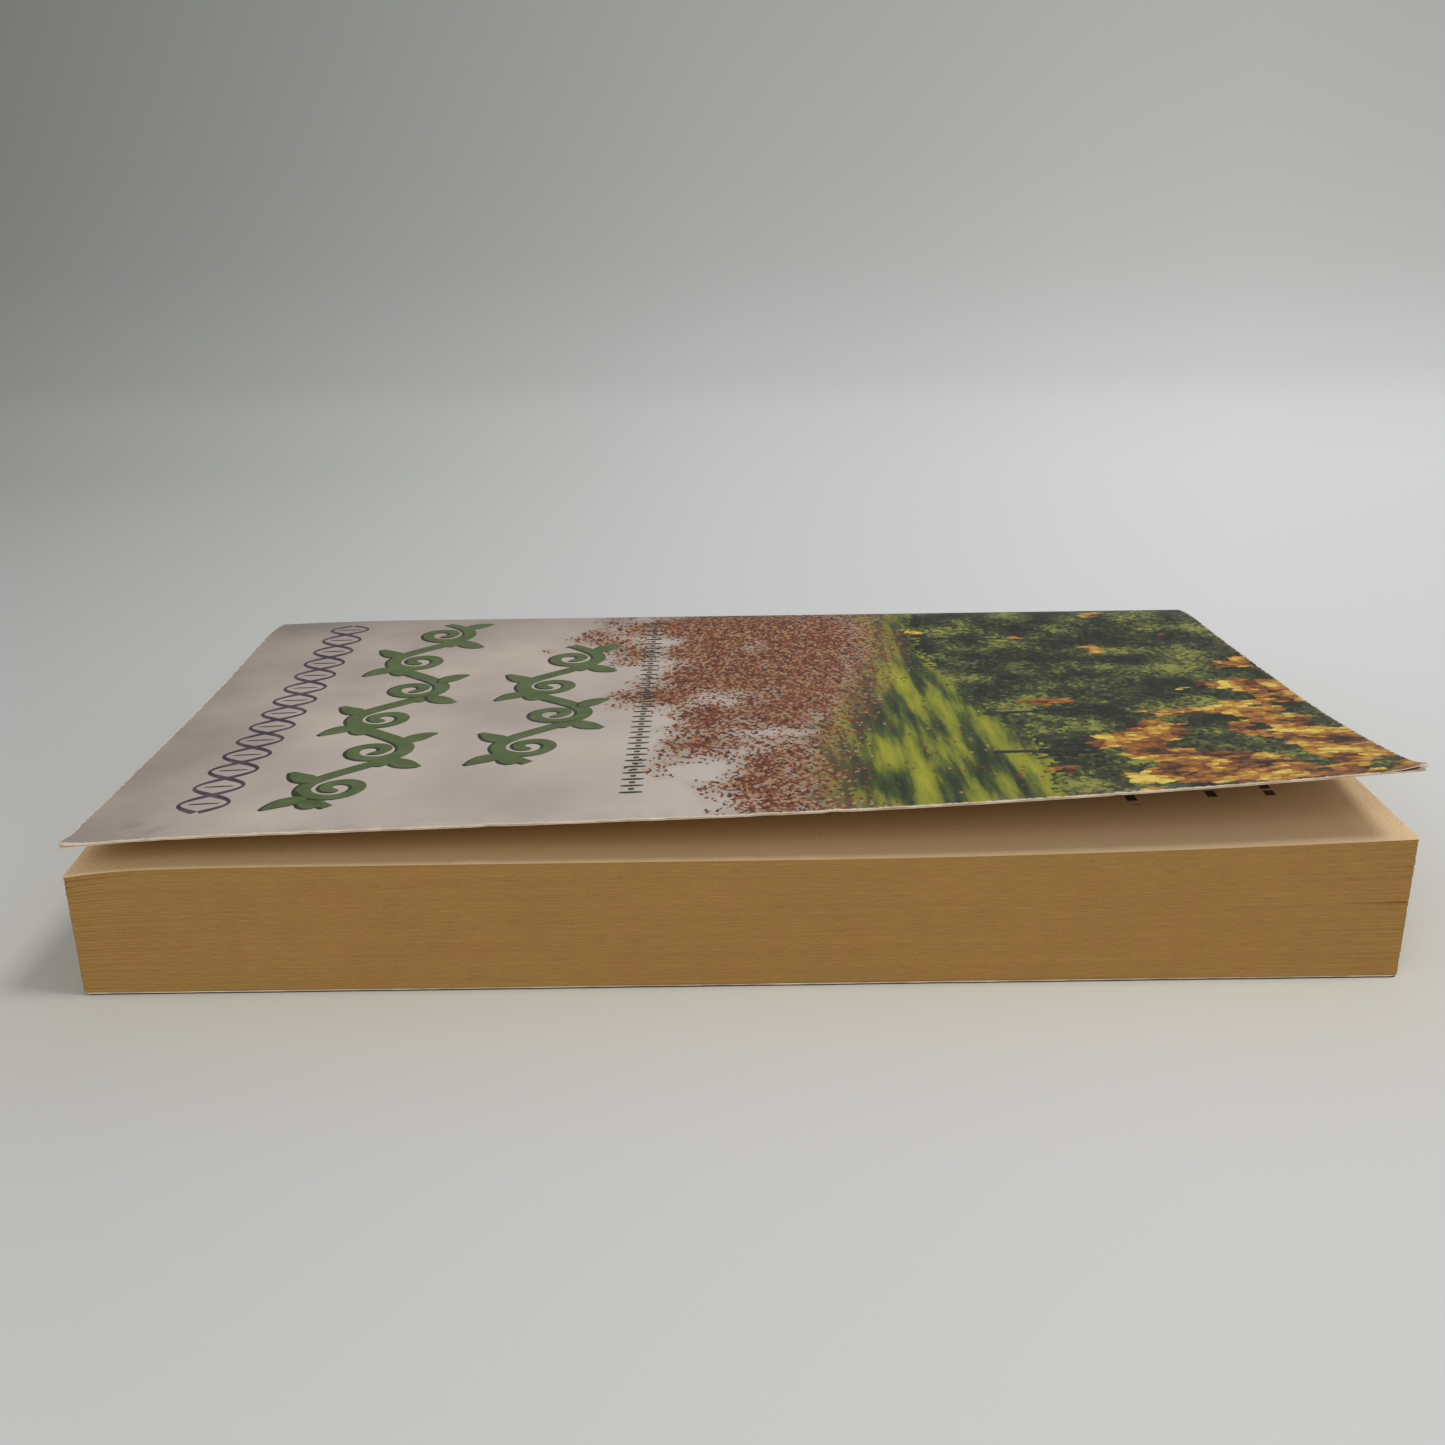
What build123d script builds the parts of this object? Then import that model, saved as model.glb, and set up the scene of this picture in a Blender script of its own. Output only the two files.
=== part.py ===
"""A mass-market paperback book that lies on its back cover, with its front cover standing slightly open.

X runs along the spine from tail to head, Y from the fore-edge to the spine, and Z up.
The origin is under the middle of the trimmed book, on the surface that it lies on.
All sizes are in millimetres.
"""

import os

from build123d import *

# Trimmed format, shared by the leaves and the card
book_length = 171.0
book_width = 106.4

# Stock
card_thickness = 0.3
glue_thickness = 0.4

# The card folds round the spine a little below the top leaf
spine_height = 18.0
fold_clearance = 0.05
card_clearance = 0.15

# The rounded shoulder where the top leaves and the front cover leave the spine
shoulder_rise = 1.2
shoulder_run = 13.0

# Front cover standing open: rise of its fore-edge above the shoulder at tail, middle and head
lift_tail = 2.9
lift_middle = 5.2
lift_head = 7.7
# The card stays down on the leaves this far from the spine before it lifts, and turns up gradually
lie_down_tail = 46.0
lie_down_head = 10.0
turn_up_length = 12.0
# The head corner curls up further, and the tail corner droops
head_curl = 2.6
head_curl_run = 46.0
head_curl_reach = 95.0
tail_droop = 0.4
tail_droop_reach = 11.0

# Leaves and card alike sag towards the tail
tail_sag = 0.5
tail_sag_reach = 26.0

# Top leaf: swollen towards the head corner of the fore-edge, turned down at the tail corner
fore_edge_drop = 0.6
leaf_swell = 1.65
leaf_swell_reach = 76.0
leaf_corner_drop = 0.65
leaf_corner_reach = 11.0
leaf_corner_depth = 15.0

# Gaps between leaves that show as lines round the head and the tail corner of the fore-edge
leaf_gap_height = 0.12
leaf_gap_depth = 0.7
leaf_gap_count = 10
leaf_gap_fore_run = 70.0
leaf_gap_side_run = 50.0
leaf_gap_short = 0.4
leaf_gap_stagger = 0.35
# One gap stands open at the head corner
open_gap_height = 0.3
open_gap_level = 9.9
open_gap_run = 8.0

# Wear: rubbed corners, a nick in each end of the front cover, and a corner split into its plies
block_corner_radius = 0.5
card_corner_radius = 0.9
nick_length = 2.4
nick_depth = 0.4
head_nick_from_spine = 45.0
tail_nick_from_spine = 34.0
ply_thickness = 0.12
ply_reach = 7.0
ply_rise = 1.1

# Grid that the warped surfaces are drawn through
stations_along = 25
stations_across = 19
overhang = 1.5

# Places worked out from the sizes above
head = book_length / 2
tail = -book_length / 2
spine = book_width / 2
fore_edge = -book_width / 2
leaf_spine = spine - card_thickness - glue_thickness
leaf_bottom = card_thickness
fold_top = spine_height - card_thickness
leaf_fold_top = fold_top - card_clearance
cut_height = spine_height + shoulder_rise + lift_head + head_curl + 2 * ply_rise


def part_way(place, start, end):
    """How far along the way from start to end a place is, 0 at start and 1 at end."""
    return (place - start) / (end - start)


def past(place, start, end):
    """As part_way, but 0 before the start."""
    return max(0.0, part_way(place, start, end))


def shoulder(across):
    """Rise of the rounded shoulder at a distance from the spine: a parabola that levels off."""
    return shoulder_rise * (1 - past(across, shoulder_run, 0) ** 2)


def sag(x):
    """Drop of the whole top towards the tail."""
    return tail_sag * past(x, tail + tail_sag_reach, tail) ** 2


def turned_up(across, start):
    """A straight rise from start to the fore-edge, 1 there, with its kink drawn out into a hyperbola."""
    beyond = across - start
    full = book_width - start
    rise = beyond + (beyond**2 + turn_up_length**2) ** 0.5
    return rise / (full + (full**2 + turn_up_length**2) ** 0.5)


def card_level(x, y):
    """Height of the front cover's lower face: the shoulder, then the opening, the curl and the droop."""
    across = spine - y
    along = part_way(x, tail, head)
    lift = lift_tail + (4 * lift_middle - 3 * lift_tail - lift_head) * along
    lift += (2 * lift_head + 2 * lift_tail - 4 * lift_middle) * along**2
    lie_down = lie_down_tail + (lie_down_head - lie_down_tail) * along
    opening = lift * (turned_up(across, lie_down) - turned_up(0, lie_down))
    curl = head_curl * past(x, head - head_curl_reach, head) ** 2
    curl *= past(across, book_width - head_curl_run, book_width) ** 2
    droop = tail_droop * past(x, tail + tail_droop_reach, tail) ** 2
    droop *= past(across, lie_down_tail, book_width)
    return fold_top + shoulder(across) + opening + curl - droop - sag(x)


def leaf_level(x, y):
    """Height of the top leaf: the same shoulder, then the swelling and the turned-down corner."""
    across = spine - y
    out = past(across, shoulder_run, book_width)
    swell = leaf_swell * past(x, head - leaf_swell_reach, head) ** 1.8 * out**1.5
    corner = leaf_corner_drop * past(x, tail + leaf_corner_reach, tail) ** 2
    corner *= past(across, book_width - leaf_corner_depth, book_width)
    return leaf_fold_top + shoulder(across) - sag(x) - fore_edge_drop * out + swell - corner


def ply_level(x, y):
    """Height of the split top ply's lower face: it leaves the card ever faster towards the head corner."""
    from_corner = (head - x) + (y - fore_edge)
    return card_level(x, y) + card_thickness - ply_thickness + ply_rise * past(from_corner, ply_reach, 0) ** 2


def fold_level(x, y):
    """Height of the spine panel's top, just under the front cover."""
    return fold_top - fold_clearance - sag(x)


def warped_face(level):
    """Smooth surface through a grid of heights that reaches past the trimmed outline, closer at the spine."""
    rows = []
    for i in range(stations_along):
        x = tail - overhang + (book_length + 2 * overhang) * i / (stations_along - 1)
        row = []
        for j in range(stations_across):
            y = spine + overhang - (book_width + 2 * overhang) * (j / (stations_across - 1)) ** 1.5
            row.append((x, y, level(x, y)))
        rows.append(row)
    return Face.make_surface_from_array_of_points(rows)


def opened_fore_edge(x, steps=40):
    """Where the lifted cover's free edge stands: its slope takes a little off its reach from the spine."""
    step = book_width / steps
    lost = 0.0
    for i in range(steps):
        y = spine - i * step
        slope = (card_level(x, y - step) - card_level(x, y)) / step
        lost += step * slope**2 / 2
    return fore_edge + lost


def trimmed_rectangle(y_low, y_high):
    """Rectangle of the trimmed length between two places across the book."""
    with Locations(((head + tail) / 2, (y_low + y_high) / 2)):
        Rectangle(book_length, y_high - y_low)


def cut_above(level):
    """Takes away what stands above a warped surface."""
    extrude(warped_face(level), amount=cut_height, dir=(0, 0, 1), mode=Mode.SUBTRACT)


def corner_gap(side, level, height, depth, fore_run, side_run):
    """Thin gap between leaves round one corner of the fore-edge, deepest at the corner."""
    end = side * book_length / 2
    outside = end + side * overhang
    with BuildSketch(Plane.XY.offset(level)) as gap_outline:
        with BuildLine():
            Polyline(
                (end - side * fore_run, fore_edge),
                (end - side * fore_run, fore_edge - overhang),
                (outside, fore_edge - overhang),
                (outside, fore_edge + side_run),
                (end, fore_edge + side_run),
                (end - side * depth, fore_edge + depth),
                close=True,
            )
        make_face()
    extrude(gap_outline.sketch, amount=height, mode=Mode.SUBTRACT)


def nick(end, y):
    """Shallow three-cornered nick in one end of the front cover's outline."""
    inward = -1 if end > 0 else 1
    with BuildLine() as nick_line:
        Polyline(
            (end - inward * overhang, y - nick_length / 2),
            (end, y - nick_length / 2),
            (end + inward * nick_depth, y),
            (end, y + nick_length / 2),
            (end - inward * overhang, y + nick_length / 2),
            close=True,
        )
    make_face(nick_line.edges(), mode=Mode.SUBTRACT)


# Leaves: the stack under the top leaf's surface, trimmed on three sides
with BuildPart() as page_block:
    with BuildSketch(Plane.XY.offset(leaf_bottom)) as leaf_outline:
        trimmed_rectangle(fore_edge, leaf_spine)
        fillet(leaf_outline.vertices().group_by(Axis.Y)[0], block_corner_radius)
    extrude(amount=spine_height + shoulder_rise + leaf_swell)
    cut_above(leaf_level)
    # The gaps go by turns round the head corner and the tail corner, and every third is a short one
    gap_pitch = (leaf_fold_top - leaf_bottom) / (leaf_gap_count + 1)
    for gap in range(leaf_gap_count):
        gap_side = (-1) ** gap
        gap_level = leaf_bottom + gap_pitch * (gap + 1) + leaf_gap_stagger * gap_side
        run_share = leaf_gap_short if gap % 3 == 0 else 1
        corner_gap(
            gap_side, gap_level, leaf_gap_height, leaf_gap_depth,
            leaf_gap_fore_run * run_share, leaf_gap_side_run * run_share,
        )
    corner_gap(1, open_gap_level, open_gap_height, leaf_gap_depth, open_gap_run, open_gap_run)

# Hot-melt glue between the leaves and the card, the full length of the spine
with BuildPart() as spine_glue:
    with BuildSketch(Plane.XY.offset(leaf_bottom)):
        trimmed_rectangle(leaf_spine, leaf_spine + glue_thickness)
    extrude(amount=spine_height)
    cut_above(leaf_level)

# Top ply of the card where it has split and peeled up at the head corner
with BuildPart() as split_ply:
    thicken(warped_face(ply_level), amount=ply_thickness, normal_override=(0, 0, 1))
    corner_y = opened_fore_edge(head)
    with BuildSketch():
        with BuildLine():
            Polyline(
                (head - ply_reach, corner_y),
                (head - card_corner_radius, corner_y),
                (head, corner_y + card_corner_radius),
                (head, corner_y + ply_reach),
                close=True,
            )
        make_face()
    extrude(amount=cut_height, mode=Mode.INTERSECT)

# Front cover: warped card, trimmed to the format, standing open
with BuildPart() as front_cover:
    thicken(warped_face(card_level), amount=card_thickness, normal_override=(0, 0, 1))
    with BuildSketch() as front_outline:
        with BuildLine():
            free_edge = Spline(
                (tail, opened_fore_edge(tail)),
                (0, opened_fore_edge(0)),
                (head, opened_fore_edge(head)),
            )
            Polyline(
                free_edge @ 1,
                (head, spine - fold_clearance),
                (tail, spine - fold_clearance),
                free_edge @ 0,
            )
        make_face()
        fillet(front_outline.vertices().sort_by(Axis.Y)[:2], card_corner_radius)
        nick(head, spine - head_nick_from_spine)
        nick(tail, spine - tail_nick_from_spine)
    extrude(amount=cut_height, mode=Mode.INTERSECT)
    add(split_ply.part)

# Spine panel of the card, glued to the leaves
with BuildPart() as spine_cover:
    with BuildSketch(Plane.XY.offset(card_thickness + fold_clearance)):
        trimmed_rectangle(spine - card_thickness, spine)
    extrude(amount=spine_height)
    cut_above(fold_level)

# Back cover: flat card that the book lies on
with BuildPart() as back_cover:
    with BuildSketch() as back_outline:
        trimmed_rectangle(fore_edge, spine - fold_clearance)
        fillet(back_outline.vertices().group_by(Axis.Y)[0], card_corner_radius)
    extrude(amount=card_thickness)

os.makedirs("parts", exist_ok=True)
nodes = {
    "page_block": page_block,
    "spine_glue": spine_glue,
    "front_cover": front_cover,
    "spine_cover": spine_cover,
    "back_cover": back_cover,
}
for node_name, node in nodes.items():
    node.part.label = node_name
    export_step(node.part, f"parts/{node_name}.step")
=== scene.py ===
"""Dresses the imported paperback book: card covers folded round a block of pulp-paper leaves.

The CAD model gives the sizes and the two folds that move. This script repeats its warped surfaces
as numpy functions, cuts the leaves, the two folded sheets of card, the split corner and the printed
ornament from them, gives each a procedural finish, and sets a plain studio round the book.
"""

import logging
from dataclasses import dataclass, field
from enum import Enum
from functools import partial

import bmesh
import bpy
import numpy as np
from mathutils import Matrix


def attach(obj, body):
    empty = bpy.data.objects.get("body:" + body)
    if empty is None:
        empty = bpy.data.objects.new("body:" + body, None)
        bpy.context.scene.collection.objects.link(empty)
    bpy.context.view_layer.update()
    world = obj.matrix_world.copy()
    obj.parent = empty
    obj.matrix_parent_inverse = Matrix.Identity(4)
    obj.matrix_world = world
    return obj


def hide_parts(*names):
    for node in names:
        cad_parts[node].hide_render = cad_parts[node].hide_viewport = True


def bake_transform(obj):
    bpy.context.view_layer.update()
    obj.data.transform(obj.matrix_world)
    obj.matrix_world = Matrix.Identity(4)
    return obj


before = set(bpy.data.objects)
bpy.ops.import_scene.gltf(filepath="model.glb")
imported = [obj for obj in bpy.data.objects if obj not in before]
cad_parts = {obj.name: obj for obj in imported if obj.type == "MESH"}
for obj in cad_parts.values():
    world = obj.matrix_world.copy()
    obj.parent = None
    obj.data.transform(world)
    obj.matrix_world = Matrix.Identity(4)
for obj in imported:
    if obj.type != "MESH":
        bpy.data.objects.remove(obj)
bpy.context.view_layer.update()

LOG = logging.getLogger("paperback")
MM = 0.001
# Flat place on the sheet or the block, distance from the nearest free edge, and depth in the card
PRINT_MAP = "print_mm"
RIM = "rim_mm"
DEPTH = "depth_share"
# Edges that turn by more than this stay crisp, points nearer than this, in metres, are one, and a
# vector that is shorter than this has no direction
CRISP = np.radians(60)
SAME_PLACE = 1e-7
NO_LENGTH = 1e-9
# How far from a free edge of the card its grid has its last few rows, and their least distance, as a
# share of the card's width, from the rows before them
RIM_STEPS = np.array([0.0, 0.12, 0.3, 0.55, 0.85])
RIM_GAP = 0.004

# A line is a path with its half widths, stops are a ramp's places and hex colours, and a span is a few
# numbers that belong together
Array = np.ndarray
Line = tuple[Array, Array]
Piece = bpy.types.Object
Finish = bpy.types.Material
Node = bpy.types.Node
Socket = bpy.types.NodeSocket
Stops = tuple[tuple[float, str], ...]
Span = tuple[float, ...]


class Kind(Enum):
    """Shader nodes that the finishes are made from."""

    ATTRIBUTE = "ShaderNodeAttribute"
    BSDF = "ShaderNodeBsdfPrincipled"
    BUMP = "ShaderNodeBump"
    COORDINATES = "ShaderNodeTexCoord"
    MATH = "ShaderNodeMath"
    MIX = "ShaderNodeMix"
    NOISE = "ShaderNodeTexNoise"
    OUTPUT = "ShaderNodeOutputMaterial"
    RAMP = "ShaderNodeValToRGB"
    RANGE = "ShaderNodeMapRange"
    SPLIT = "ShaderNodeSeparateXYZ"
    UV = "ShaderNodeUVMap"
    VECTOR = "ShaderNodeVectorMath"
    VORONOI = "ShaderNodeTexVoronoi"


# Settings that a node has unless a call gives others: patterns lie flat on the print
USUAL = {
    Kind.MIX: {"data_type": "RGBA"},
    Kind.NOISE: {"noise_dimensions": "2D"},
    Kind.VORONOI: {"voronoi_dimensions": "2D"},
    Kind.UV: {"uv_map": PRINT_MAP},
}


def linear(colour: str) -> tuple[float, float, float, float]:
    """Turn an sRGB hex colour such as "#a1b2c3" into linear RGBA."""
    parts = np.array([int(colour[i : i + 2], 16) for i in (1, 3, 5)]) / 255
    values = np.where(parts <= 0.04045, parts / 12.92, ((parts + 0.055) / 1.055) ** 2.4)
    return (*values.tolist(), 1.0)


def add_node(tree: bpy.types.NodeTree, kind: Kind, inputs: dict | tuple = (), **settings: object) -> Node:
    """Add one node with its settings and links.

    Args:
        tree: The node tree that it goes into.
        kind: Which node.
        inputs: Values in the order of the sockets, or a dict of values by a socket's name. A value
            is a number, a hex colour, a node or one of its outputs.
        settings: The node's own properties; `stops` lists a ramp's (place, hex colour) pairs.

    Returns:
        The node.
    """
    node = tree.nodes.new(kind.value)
    stops = settings.pop("stops", ())
    for name, value in {**USUAL.get(kind, {}), **settings}.items():
        setattr(node, name, value)
    if stops:
        elements = node.color_ramp.elements
        while len(elements) < len(stops):
            elements.new(0.5)
        for element, (place, colour) in zip(elements, stops):
            element.position = place
            element.color = linear(colour)
    for key, value in inputs.items() if isinstance(inputs, dict) else enumerate(inputs):
        named = [s for s in node.inputs if s.enabled and s.name == key]
        socket = named[0] if named else node.inputs[key]
        if isinstance(value, Node):
            value = next(s for s in value.outputs if s.enabled)
        if isinstance(value, Socket):
            tree.links.new(value, socket)
        else:
            socket.default_value = linear(value) if isinstance(value, str) else value
    return node


def new_material(name: str) -> tuple[Finish, partial]:
    """Make an empty node material, and bind add_node to its tree."""
    material = bpy.data.materials.new(name)
    material.use_nodes = True
    material.node_tree.nodes.clear()
    return material, partial(add_node, material.node_tree)


def lay_over(
    add: partial,
    below: Node | str,
    over: Node | str,
    value: Node | Socket,
    start: float,
    full: float,
    most: float = 1.0,
) -> Node:
    """Lay a colour over another where a value is past a start.

    Args:
        add: The material's add_node.
        below: The colour that it covers.
        over: The colour that is laid on.
        value: What tells how much of it shows.
        start: Value up to which none shows.
        full: Value from which the most shows.
        most: The share that shows there.

    Returns:
        The mixed colour.
    """
    share = add(Kind.RANGE, (value, start, full, 0.0, most))
    return add(Kind.MIX, {"Factor": share, "A": below, "B": over})


def coat(
    add: partial,
    colour: Node,
    roughness: Node | float,
    shine: float = 0.5,
    relief: tuple[Node, float, float] | None = None,
) -> None:
    """End a finish with its shader.

    Args:
        add: The material's add_node.
        colour: Its colour.
        roughness: Its roughness.
        shine: Its specular level, 0.5 for a clean smooth surface.
        relief: Height, strength and depth in millimetres of a fine relief, if it has one.
    """
    inputs = {"Base Color": colour, "Roughness": roughness, "Specular IOR Level": shine}
    if relief:
        height, strength, depth = relief
        inputs["Normal"] = add(Kind.BUMP, {"Height": height, "Strength": strength, "Distance": depth * MM})
    add(Kind.OUTPUT, {"Surface": add(Kind.BSDF, inputs)})


def make_object(
    name: str, points: Array, faces: Array, uv: Array | None = None, slots: Array | None = None
) -> Piece:
    """Put points and four-cornered faces into a smooth mesh object at the origin.

    Args:
        name: The piece's name.
        points: Vertices in millimetres, (n, 3).
        faces: Vertex numbers, (m, 4).
        uv: Flat place of each vertex in millimetres, (n, 2).
        slots: Material number of each face, (m,).

    Returns:
        The object, linked to the scene.
    """
    mesh = bpy.data.meshes.new(name)
    mesh.vertices.add(len(points))
    mesh.vertices.foreach_set("co", (points * MM).astype(np.float32).ravel())
    mesh.loops.add(faces.size)
    mesh.loops.foreach_set("vertex_index", faces.astype(np.int32).ravel())
    mesh.polygons.add(len(faces))
    mesh.polygons.foreach_set("loop_start", np.arange(0, faces.size, 4, dtype=np.int32))
    if slots is not None:
        mesh.polygons.foreach_set("material_index", slots.astype(np.int32))
    if uv is not None:
        layer = mesh.uv_layers.new(name=PRINT_MAP)
        layer.data.foreach_set("uv", uv[faces.ravel()].astype(np.float32).ravel())
    mesh.update(calc_edges=True)
    mesh.validate()
    mesh.shade_smooth()
    made = bpy.data.objects.new(name, mesh)
    bpy.context.scene.collection.objects.link(made)
    return made


def close_up(piece: Piece, *finishes: Finish) -> None:
    """Close a piece made of grids, and dress it in its finishes, slot by slot.

    Doubled vertices where grids meet are merged, faces are turned outwards, and cut edges stay crisp.
    """
    body = bmesh.new()
    body.from_mesh(piece.data)
    bmesh.ops.remove_doubles(body, verts=body.verts, dist=SAME_PLACE)
    bmesh.ops.recalc_face_normals(body, faces=body.faces)
    body.to_mesh(piece.data)
    body.free()
    piece.data.set_sharp_from_angle(angle=CRISP)
    for finish in finishes:
        piece.data.materials.append(finish)


def grid_faces(rows: int, columns: int, first: int = 0) -> Array:
    """Vertex numbers of the four-cornered faces of a grid that is stored row by row."""
    corner = (np.arange(rows - 1)[:, None] * columns + np.arange(columns - 1)[None, :]).ravel() + first
    return np.stack([corner, corner + 1, corner + columns + 1, corner + columns], 1)


def stack_grids(grids: list[tuple[Array, Array, int]]) -> tuple[Array, Array, Array, Array]:
    """Join grids into one mesh.

    Args:
        grids: For each grid its points, (rows, columns, 3), their flat places and a material number.

    Returns:
        Points, faces, flat places and material numbers, as make_object takes them.
    """
    points, faces, flat, slots, first = [], [], [], [], 0
    for grid, place, slot in grids:
        rows, columns = grid.shape[:2]
        new = grid_faces(rows, columns, first)
        points.append(grid.reshape(-1, 3))
        flat.append(place.reshape(-1, 2))
        faces.append(new)
        slots.append(np.full(len(new), slot))
        first += rows * columns
    return np.concatenate(points), np.concatenate(faces), np.concatenate(flat), np.concatenate(slots)


def part_way(place: Array, start: float, end: float) -> Array:
    """How far along the way from start to end a place is, 0 at start and 1 at end."""
    return (place - start) / (end - start)


def past(place: Array, start: float, end: float) -> Array:
    """As part_way, but 0 before the start."""
    return np.maximum(0.0, part_way(place, start, end))


def smooth_noise(
    rng: np.random.Generator, rows: int, columns: int, row_step: float, column_step: float
) -> Array:
    """Noise from -1 to 1 on a grid: random knots every few rows and columns, joined by smooth steps."""
    knots = rng.uniform(-1, 1, (int(rows / row_step) + 3, int(columns / column_step) + 3))
    down, along = np.arange(rows) / row_step, np.arange(columns) / column_step
    i, j = down.astype(int), along.astype(int)
    s = (down - i)[:, None]
    t = (along - j)[None, :]
    s, t = s * s * (3 - 2 * s), t * t * (3 - 2 * t)
    upper = knots[np.ix_(i, j)] * (1 - t) + knots[np.ix_(i, j + 1)] * t
    lower = knots[np.ix_(i + 1, j)] * (1 - t) + knots[np.ix_(i + 1, j + 1)] * t
    return upper * (1 - s) + lower * s


def line_noise(rng: np.random.Generator, count: int, step: float) -> Array:
    """Noise from 0 to 1 along a line of points, with a knot every few points."""
    return (smooth_noise(rng, 1, count, 1, step)[0] + 1) / 2


def rounded_off(corner: float, from_edge: Array) -> Array:
    """What a rounded corner takes off an end, at a distance from the edge: a quarter circle."""
    near = np.clip(corner - from_edge, 0, corner)
    return corner - np.sqrt(corner**2 - near**2)


def rolled_out(points: Array) -> Array:
    """Length from the first row to each point of a grid, down its column, as short steps added up."""
    step = np.linalg.norm(np.diff(points, axis=0), axis=2)
    return np.concatenate([np.zeros((1, points.shape[1])), np.cumsum(step, axis=0)])


@dataclass(frozen=True)
class BookForm:
    """Sizes and warped surfaces of the book in millimetres, the same as in the part's source."""

    length: float = 171.0
    width: float = 106.4
    card: float = 0.3
    glue: float = 0.4
    spine_height: float = 18.0
    clearance: float = 0.15
    shoulder_rise: float = 1.2
    shoulder_run: float = 13.0
    lift_tail: float = 2.9
    lift_middle: float = 5.2
    lift_head: float = 7.7
    lie_down_tail: float = 46.0
    lie_down_head: float = 10.0
    turn_up_length: float = 12.0
    head_curl: float = 2.6
    head_curl_run: float = 46.0
    head_curl_reach: float = 95.0
    tail_droop: float = 0.4
    tail_droop_reach: float = 11.0
    tail_sag: float = 0.5
    tail_sag_reach: float = 26.0
    fore_edge_drop: float = 0.6
    leaf_swell: float = 1.65
    leaf_swell_reach: float = 76.0
    leaf_corner_drop: float = 0.65
    leaf_corner_reach: float = 11.0
    leaf_corner_depth: float = 15.0
    ply: float = 0.12
    ply_reach: float = 7.0
    ply_rise: float = 1.1
    # Only here: how the back cover's fore-edge stands off the table, a little unevenly
    foot_lift: float = 0.05
    foot_reach: float = 7.0
    foot_uneven: float = 0.15
    foot_wave: float = 17.0

    @property
    def head(self) -> float:
        """Head end of the book."""
        return self.length / 2

    @property
    def spine(self) -> float:
        """Outer face of the spine."""
        return self.width / 2

    @property
    def card_inside(self) -> float:
        """Inner face of the spine's card."""
        return self.spine - self.card

    @property
    def leaf_spine(self) -> float:
        """Glued edge of the leaves."""
        return self.spine - self.card - self.glue

    @property
    def fold_top(self) -> float:
        """Lower face of the front cover at the fold."""
        return self.spine_height - self.card

    def sag(self, x: Array) -> Array:
        """Drop of the whole top towards the tail, by the square of the way."""
        return self.tail_sag * past(x, -self.head + self.tail_sag_reach, -self.head) ** 2

    def shoulder(self, across: Array) -> Array:
        """Rise of the rounded shoulder: a parabola that levels off away from the spine."""
        return self.shoulder_rise * (1 - past(across, self.shoulder_run, 0) ** 2)

    def turned_up(self, across: Array, start: Array) -> Array:
        """Straight rise from start to the fore-edge, with its kink drawn out into a hyperbola."""
        beyond, full = across - start, self.width - start
        bend = self.turn_up_length**2
        return (beyond + np.sqrt(beyond**2 + bend)) / (full + np.sqrt(full**2 + bend))

    def card_level(self, x: Array, y: Array) -> Array:
        """Lower face of the front cover: shoulder, opening, curled head corner, drooping tail corner."""
        across, along = self.spine - y, part_way(x, -self.head, self.head)
        lift = self.lift_tail + (4 * self.lift_middle - 3 * self.lift_tail - self.lift_head) * along
        lift += (2 * self.lift_head + 2 * self.lift_tail - 4 * self.lift_middle) * along**2
        lie_down = self.lie_down_tail + (self.lie_down_head - self.lie_down_tail) * along
        opening = lift * (self.turned_up(across, lie_down) - self.turned_up(0, lie_down))
        curl = self.head_curl * past(x, self.head - self.head_curl_reach, self.head) ** 2
        curl = curl * past(across, self.width - self.head_curl_run, self.width) ** 2
        droop = self.tail_droop * past(x, -self.head + self.tail_droop_reach, -self.head) ** 2
        droop = droop * past(across, self.lie_down_tail, self.width)
        return self.fold_top + self.shoulder(across) + opening + curl - droop - self.sag(x)

    def peel(self, x: Array, y: Array) -> Array:
        """Rise of the split top ply over the card, ever faster towards the head corner."""
        return self.ply_rise * past((self.head - x) + (y + self.spine), self.ply_reach, 0) ** 2

    def peeled_level(self, x: Array, y: Array, extra: float) -> Array:
        """The front cover's lower face, with a share of the peeled ply's rise added."""
        return self.card_level(x, y) + extra * self.peel(x, y)

    def card_normal(self, x: Array, y: Array, extra: float = 0.0, reach: float = 0.2) -> Array:
        """Upward direction across the front cover, from its slopes over a short reach to each side.

        With extra at 1 it is the peeled ply's, with extra at 0 the card's.
        """
        ahead, behind = self.peeled_level(x + reach, y, extra), self.peeled_level(x - reach, y, extra)
        left, right = self.peeled_level(x, y + reach, extra), self.peeled_level(x, y - reach, extra)
        slope_x, slope_y = (ahead - behind) / (2 * reach), (left - right) / (2 * reach)
        return np.stack([-slope_x, -slope_y, np.ones_like(slope_x)], -1)

    def leaf_level(self, x: Array, y: Array) -> Array:
        """Top leaf: the same shoulder, the swelling towards the head and the turned-down corner."""
        across = self.spine - y
        out = past(across, self.shoulder_run, self.width)
        swell = self.leaf_swell * past(x, self.head - self.leaf_swell_reach, self.head) ** 1.8 * out**1.5
        corner = self.leaf_corner_drop * past(x, -self.head + self.leaf_corner_reach, -self.head) ** 2
        corner = corner * past(across, self.width - self.leaf_corner_depth, self.width)
        level = self.fold_top - self.clearance + self.shoulder(across) - self.sag(x)
        return level - self.fore_edge_drop * out + swell - corner

    def foot(self, x: Array, y: Array) -> Array:
        """Rise of the back cover off the table towards its fore-edge, a little uneven along the book."""
        uneven = 1 - self.foot_uneven + self.foot_uneven * np.sin(x / self.foot_wave)
        return self.foot_lift * uneven * past(self.spine - y, self.width - self.foot_reach, self.width) ** 1.5

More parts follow.
